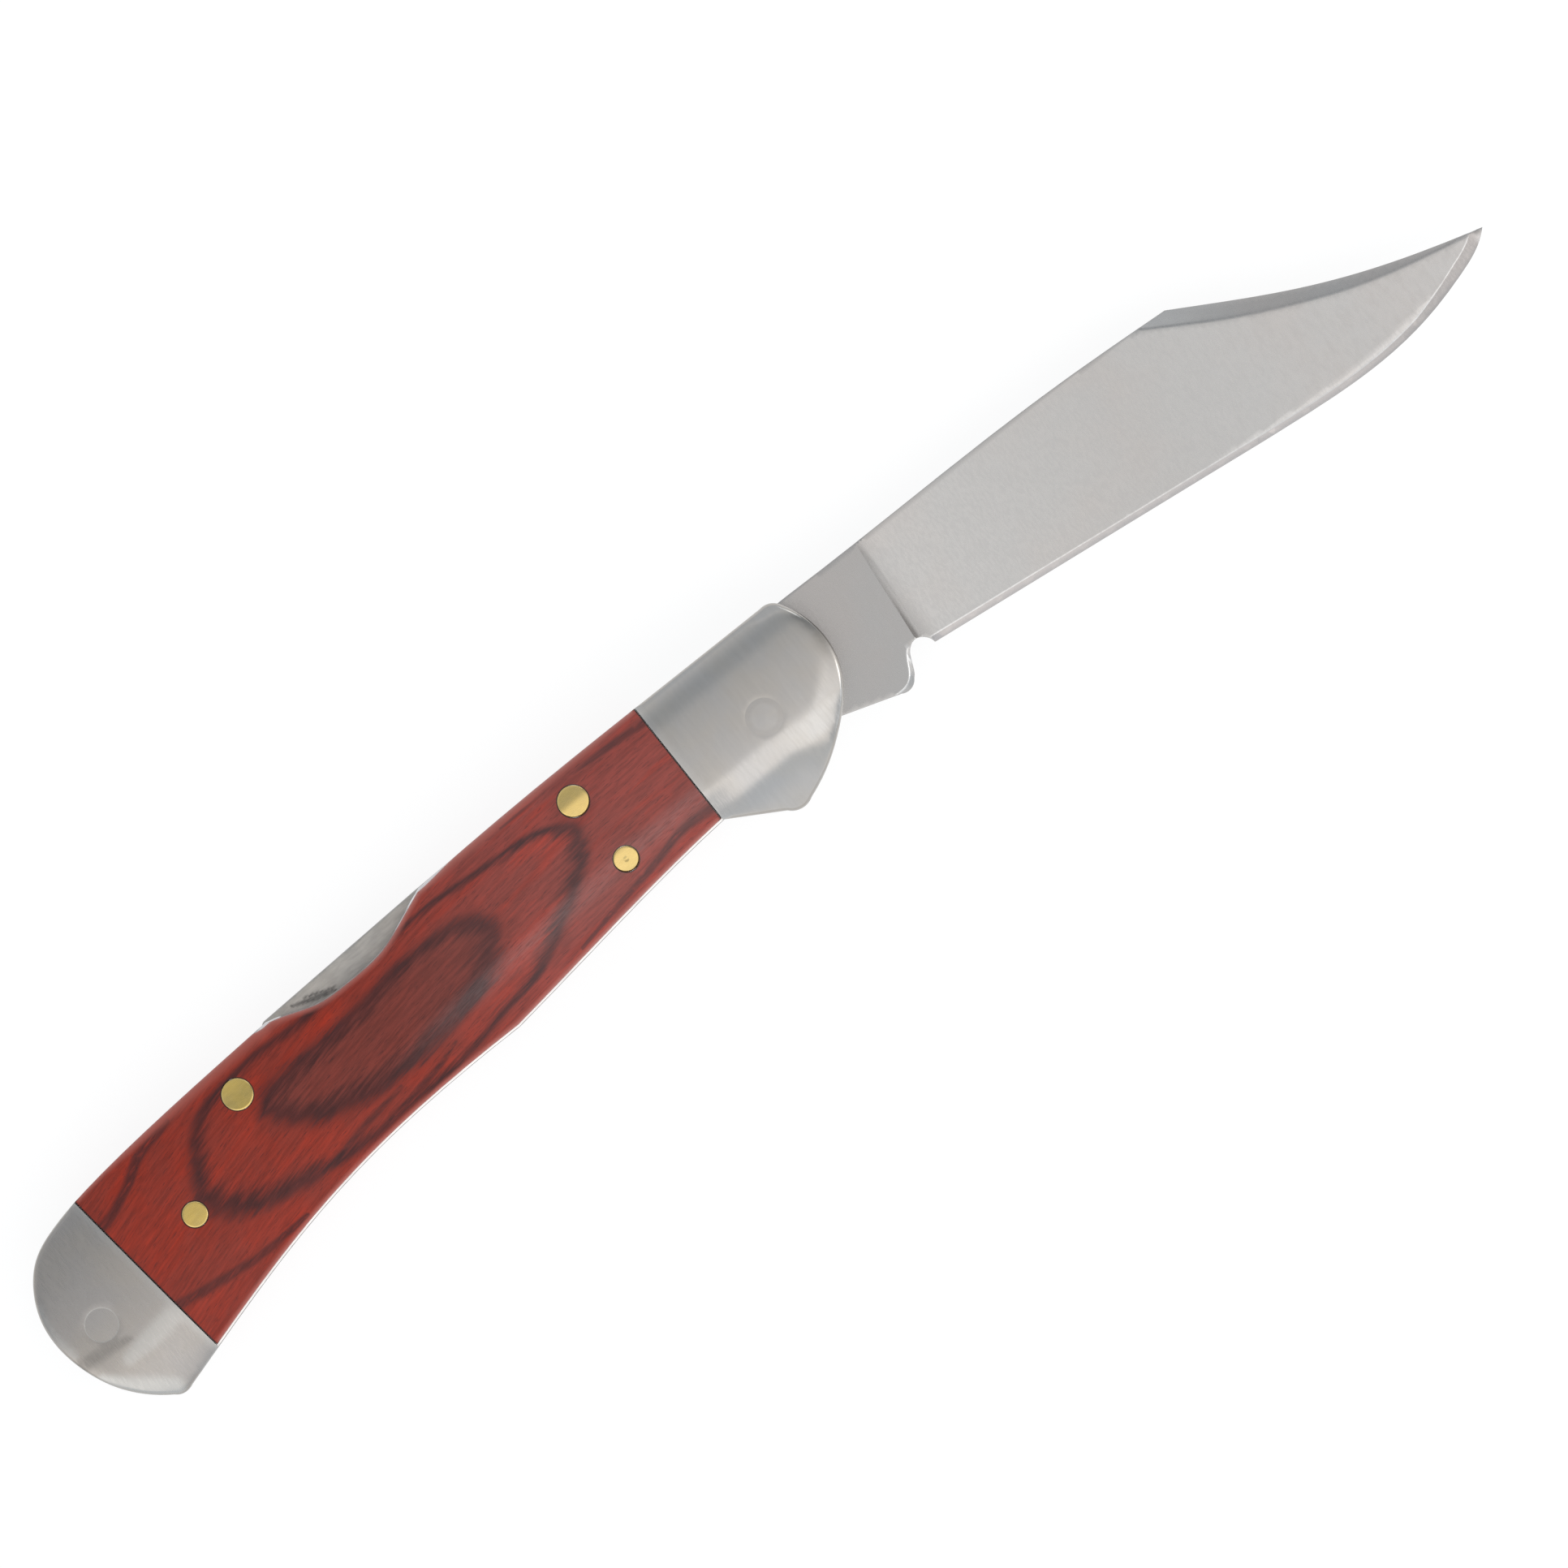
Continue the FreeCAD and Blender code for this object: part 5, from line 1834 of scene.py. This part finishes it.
    def _set(self, tree: NodeTree, name: str, slot: str, finish: Material,
             pins: list[Pin], chamfer: float, fit: float = 0.0, proud: float = 0.0) -> None:
        """Make one mesh of pins of one metal, widened by fit, with flush ends that stand proud."""
        lows, highs = zip(*[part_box(pin.node) for pin in pins])
        lowest = -proud * MM
        highest = CAD_BOX[1].z + proud * MM
        spots = bpy.data.meshes.new(name + "_spots")
        spots.from_pydata([(*((low + high) / 2).xy, 0.0) for low, high in zip(lows, highs)], [], [])
        columns = {
            "pin_radius": [(high.x - low.x) / 2 + fit * MM for low, high in zip(lows, highs)],
            "low_z": [lowest if pin.low_flush else low.z for pin, low in zip(pins, lows)],
            "high_z": [highest if pin.high_flush else high.z for pin, high in zip(pins, highs)],
            "dent": [pin.dent * MM for pin in pins],
        }
        for label in ("facet", "facet_from", "ring", "pale", "low_flush", "high_flush"):
            columns[label] = [getattr(pin, label) for pin in pins]
        for label, values in columns.items():
            store(spots, label, np.array(values))
        maker = placed(name + "_maker", spots)
        modifier = maker.modifiers.new("pins", "NODES")
        modifier.node_group = tree
        sizes = {
            "Flat Half": self.crown.flat_half * MM,
            "Strip Radius": self.crown.strip_radius * MM,
            "Shoulder Radius": self.crown.shoulder_radius * MM,
            "Arc Radius": self.crown.arc_radius * MM,
            "Apex X": self.crown.apex[0] * MM,
            "Apex Y": self.crown.apex[1] * MM,
            "Chamfer": chamfer * MM,
            "Sides": self.sides,
            "Rings": self.rings,
            "Material": finish,
        }
        for item in tree.interface.items_tree:
            if item.in_out == "INPUT" and item.name in sizes:
                modifier[item.identifier] = sizes[item.name]
        ready = maker.evaluated_get(bpy.context.evaluated_depsgraph_get())
        mesh = bpy.data.meshes.new_from_object(ready)
        mesh.name = "looks_" + name
        mesh.set_sharp_from_angle(angle=SHARP_ANGLE)
        bpy.data.objects.remove(maker)
        piece = placed("looks_" + name, mesh)
        dressed(piece, Body.HANDLE, slot, finish, *[pin.node for pin in pins])


@dataclass
class Studio:
    """The pale floor, the soft light and the camera.

    The light's directions are shares of a unit vector: along the blade, to the back, and up.

    Attributes:
        centre: The flat point at the middle of the picture.
        turn: How far the picture is turned about the view.
        width: The width of the picture at the pile face.
        distance: How far the camera stands above that face.
        sensor: The width of the camera's sensor.
        floor_half: Half the floor's width, in metres.
        floor_gap: How far it lies below the knife.
        floor_light: How much light the floor throws back at the knife.
        floor_shadow: How much of the light the camera sees on it, which the knife shades.
        floor_glow: How bright it is by itself.
        sky: The tent's light from the back round to the belly: place, brightness and warmth.
        sky_strength: The tent's full strength.
        shade: How much dimmer the tent is past the tip.
        shade_along: The directions along the blade between which that starts.
        shade_back: The directions to the back between which it ends.
        shade_belly: How it ends towards the belly, with the share left there.
        glint: How much brighter two patches past the tip are.
        glint_along: The directions along the blade between which they start.
        glint_aside: The directions to either side between which they start.
        glint_up: The directions upward between which they start.
    """

    centre: tuple[float, float] = (-2.56, -6.31)
    turn: float = math.radians(-38.5)
    width: float = 152.63
    distance: float = 5000.0
    sensor: float = 36.0
    floor_half: float = 12.0
    floor_gap: float = 0.03
    floor_light: float = 0.8
    floor_shadow: float = 0.16
    floor_glow: float = 0.87
    sky: Trace = (
        (0.0, 0.84, -0.05), (0.19, 0.86, -0.05), (0.223, 0.97, -0.02), (0.263, 0.75, -0.05),
        (0.33, 0.63, -0.07), (0.40, 0.66, -0.06), (0.455, 0.76, -0.04), (0.482, 0.95, -0.01),
        (0.51, 0.98, -0.01), (0.536, 1.04, 0.0), (0.565, 1.32, 0.0), (0.595, 1.66, 0.0),
        (0.755, 1.66, 0.0), (0.80, 0.98, -0.06), (0.88, 1.05, -0.06), (1.0, 1.25, -0.02))
    sky_strength: float = 2.0
    shade: float = 0.75
    shade_along: Span = (0.05, 0.5)
    shade_back: Span = (0.5, 0.25)
    shade_belly: Ramp = (-0.32, -0.2, 0.4, 1.0)
    glint: float = 2.4
    glint_along: Span = (0.5, 0.65)
    glint_aside: Span = (0.28, 0.42)
    glint_up: Span = (0.2, 0.45)

    def build(self) -> None:
        """Set up the view."""
        scene = bpy.context.scene
        scene.view_settings.view_transform = "Standard"
        self._camera(scene)
        self._floor()
        self._light(scene)

    def _camera(self, scene: Scene) -> None:
        """Look straight down on the pile side, through a long lens."""
        data = bpy.data.cameras.new("camera")
        data.sensor_width = self.sensor
        data.lens = self.sensor * self.distance / self.width
        camera = placed("camera", data)
        camera.location = (self.centre[0] * MM, self.centre[1] * MM, CAD_BOX[1].z + self.distance * MM)
        camera.rotation_euler = (0, 0, self.turn)
        scene.camera = camera

    def _floor(self) -> None:
        """Lay a pale floor that shows white, with a soft shadow."""
        mesh = bpy.data.meshes.new("floor")
        half = self.floor_half
        level = -self.floor_gap * MM
        ring = [(x * half, y * half, level) for x, y in ((-1, -1), (1, -1), (1, 1), (-1, 1))]
        mesh.from_pydata(ring, [], [(0, 1, 2, 3)])
        floor = placed("floor", mesh)
        material, graph, principled = new_material("pale_floor")
        graph.tree.nodes.remove(principled)
        path = graph.add("ShaderNodeLightPath").outputs
        seen = graph.math("MAXIMUM", path["Is Camera Ray"], path["Is Glossy Ray"])
        seen = graph.math("MAXIMUM", seen, path["Is Transmission Ray"])
        plain = graph.add("ShaderNodeBsdfDiffuse", {"Color": grey(self.floor_light)})
        dim = graph.add("ShaderNodeBsdfDiffuse", {"Color": grey(self.floor_shadow)})
        glow = graph.add("ShaderNodeEmission", {"Color": grey(self.floor_glow)})
        white = graph.add("ShaderNodeAddShader", {0: dim.outputs[0], 1: glow.outputs[0]})
        mixed = graph.add("ShaderNodeMixShader", {0: seen, 1: plain.outputs[0], 2: white.outputs[0]})
        graph.feed(graph.tree.nodes["Material Output"].inputs["Surface"], mixed.outputs[0])
        mesh.materials.append(material)

    def _light(self, scene: Scene) -> None:
        """Light the knife with a soft tent, bright towards the belly and dim towards the back."""
        world = bpy.data.worlds.new("studio")
        world.use_nodes = True
        scene.world = world
        graph = Graph(world.node_tree)
        along, back, up = graph.split(graph.add("ShaderNodeTexCoord").outputs["Generated"])
        ramp = graph.add("ShaderNodeValToRGB", {0: graph.math("MULTIPLY_ADD", back, -0.5, 0.5)})
        elements = ramp.color_ramp.elements
        while len(elements) < len(self.sky):
            elements.new(0.5)
        for element, (place, level, warmth) in zip(elements, self.sky):
            share = level / self.sky_strength
            element.position = place
            element.color = (share * (1 + warmth), share, share * (1 - warmth), 1)
        shade = graph.product(graph.rise(along, *self.shade_along), graph.rise(back, *self.shade_back),
                              graph.rise(back, *self.shade_belly))
        aside = graph.rise(graph.math("ABSOLUTE", back), *self.glint_aside)
        glint = graph.product(graph.rise(along, *self.glint_along), aside, graph.rise(up, *self.glint_up))
        strength = graph.math("MULTIPLY_ADD", shade, -self.shade, self.sky_strength)
        tent = graph.tree.nodes["Background"]
        graph.feed(tent.inputs["Color"], ramp.outputs["Color"])
        graph.feed(tent.inputs["Strength"], graph.math("MULTIPLY_ADD", glint, self.glint, strength))


def main() -> None:
    """Build the knife and its studio."""
    logging.basicConfig(level=logging.INFO, format="%(name)s: %(message)s")
    finishes = Finishes.make()
    crown = Crown()
    Blade(finishes).build()
    InnerWork(finishes).build()
    Slabs(crown, finishes).build()
    Pins(crown, finishes).build()
    Studio().build()


if __name__ == "__main__":
    main()
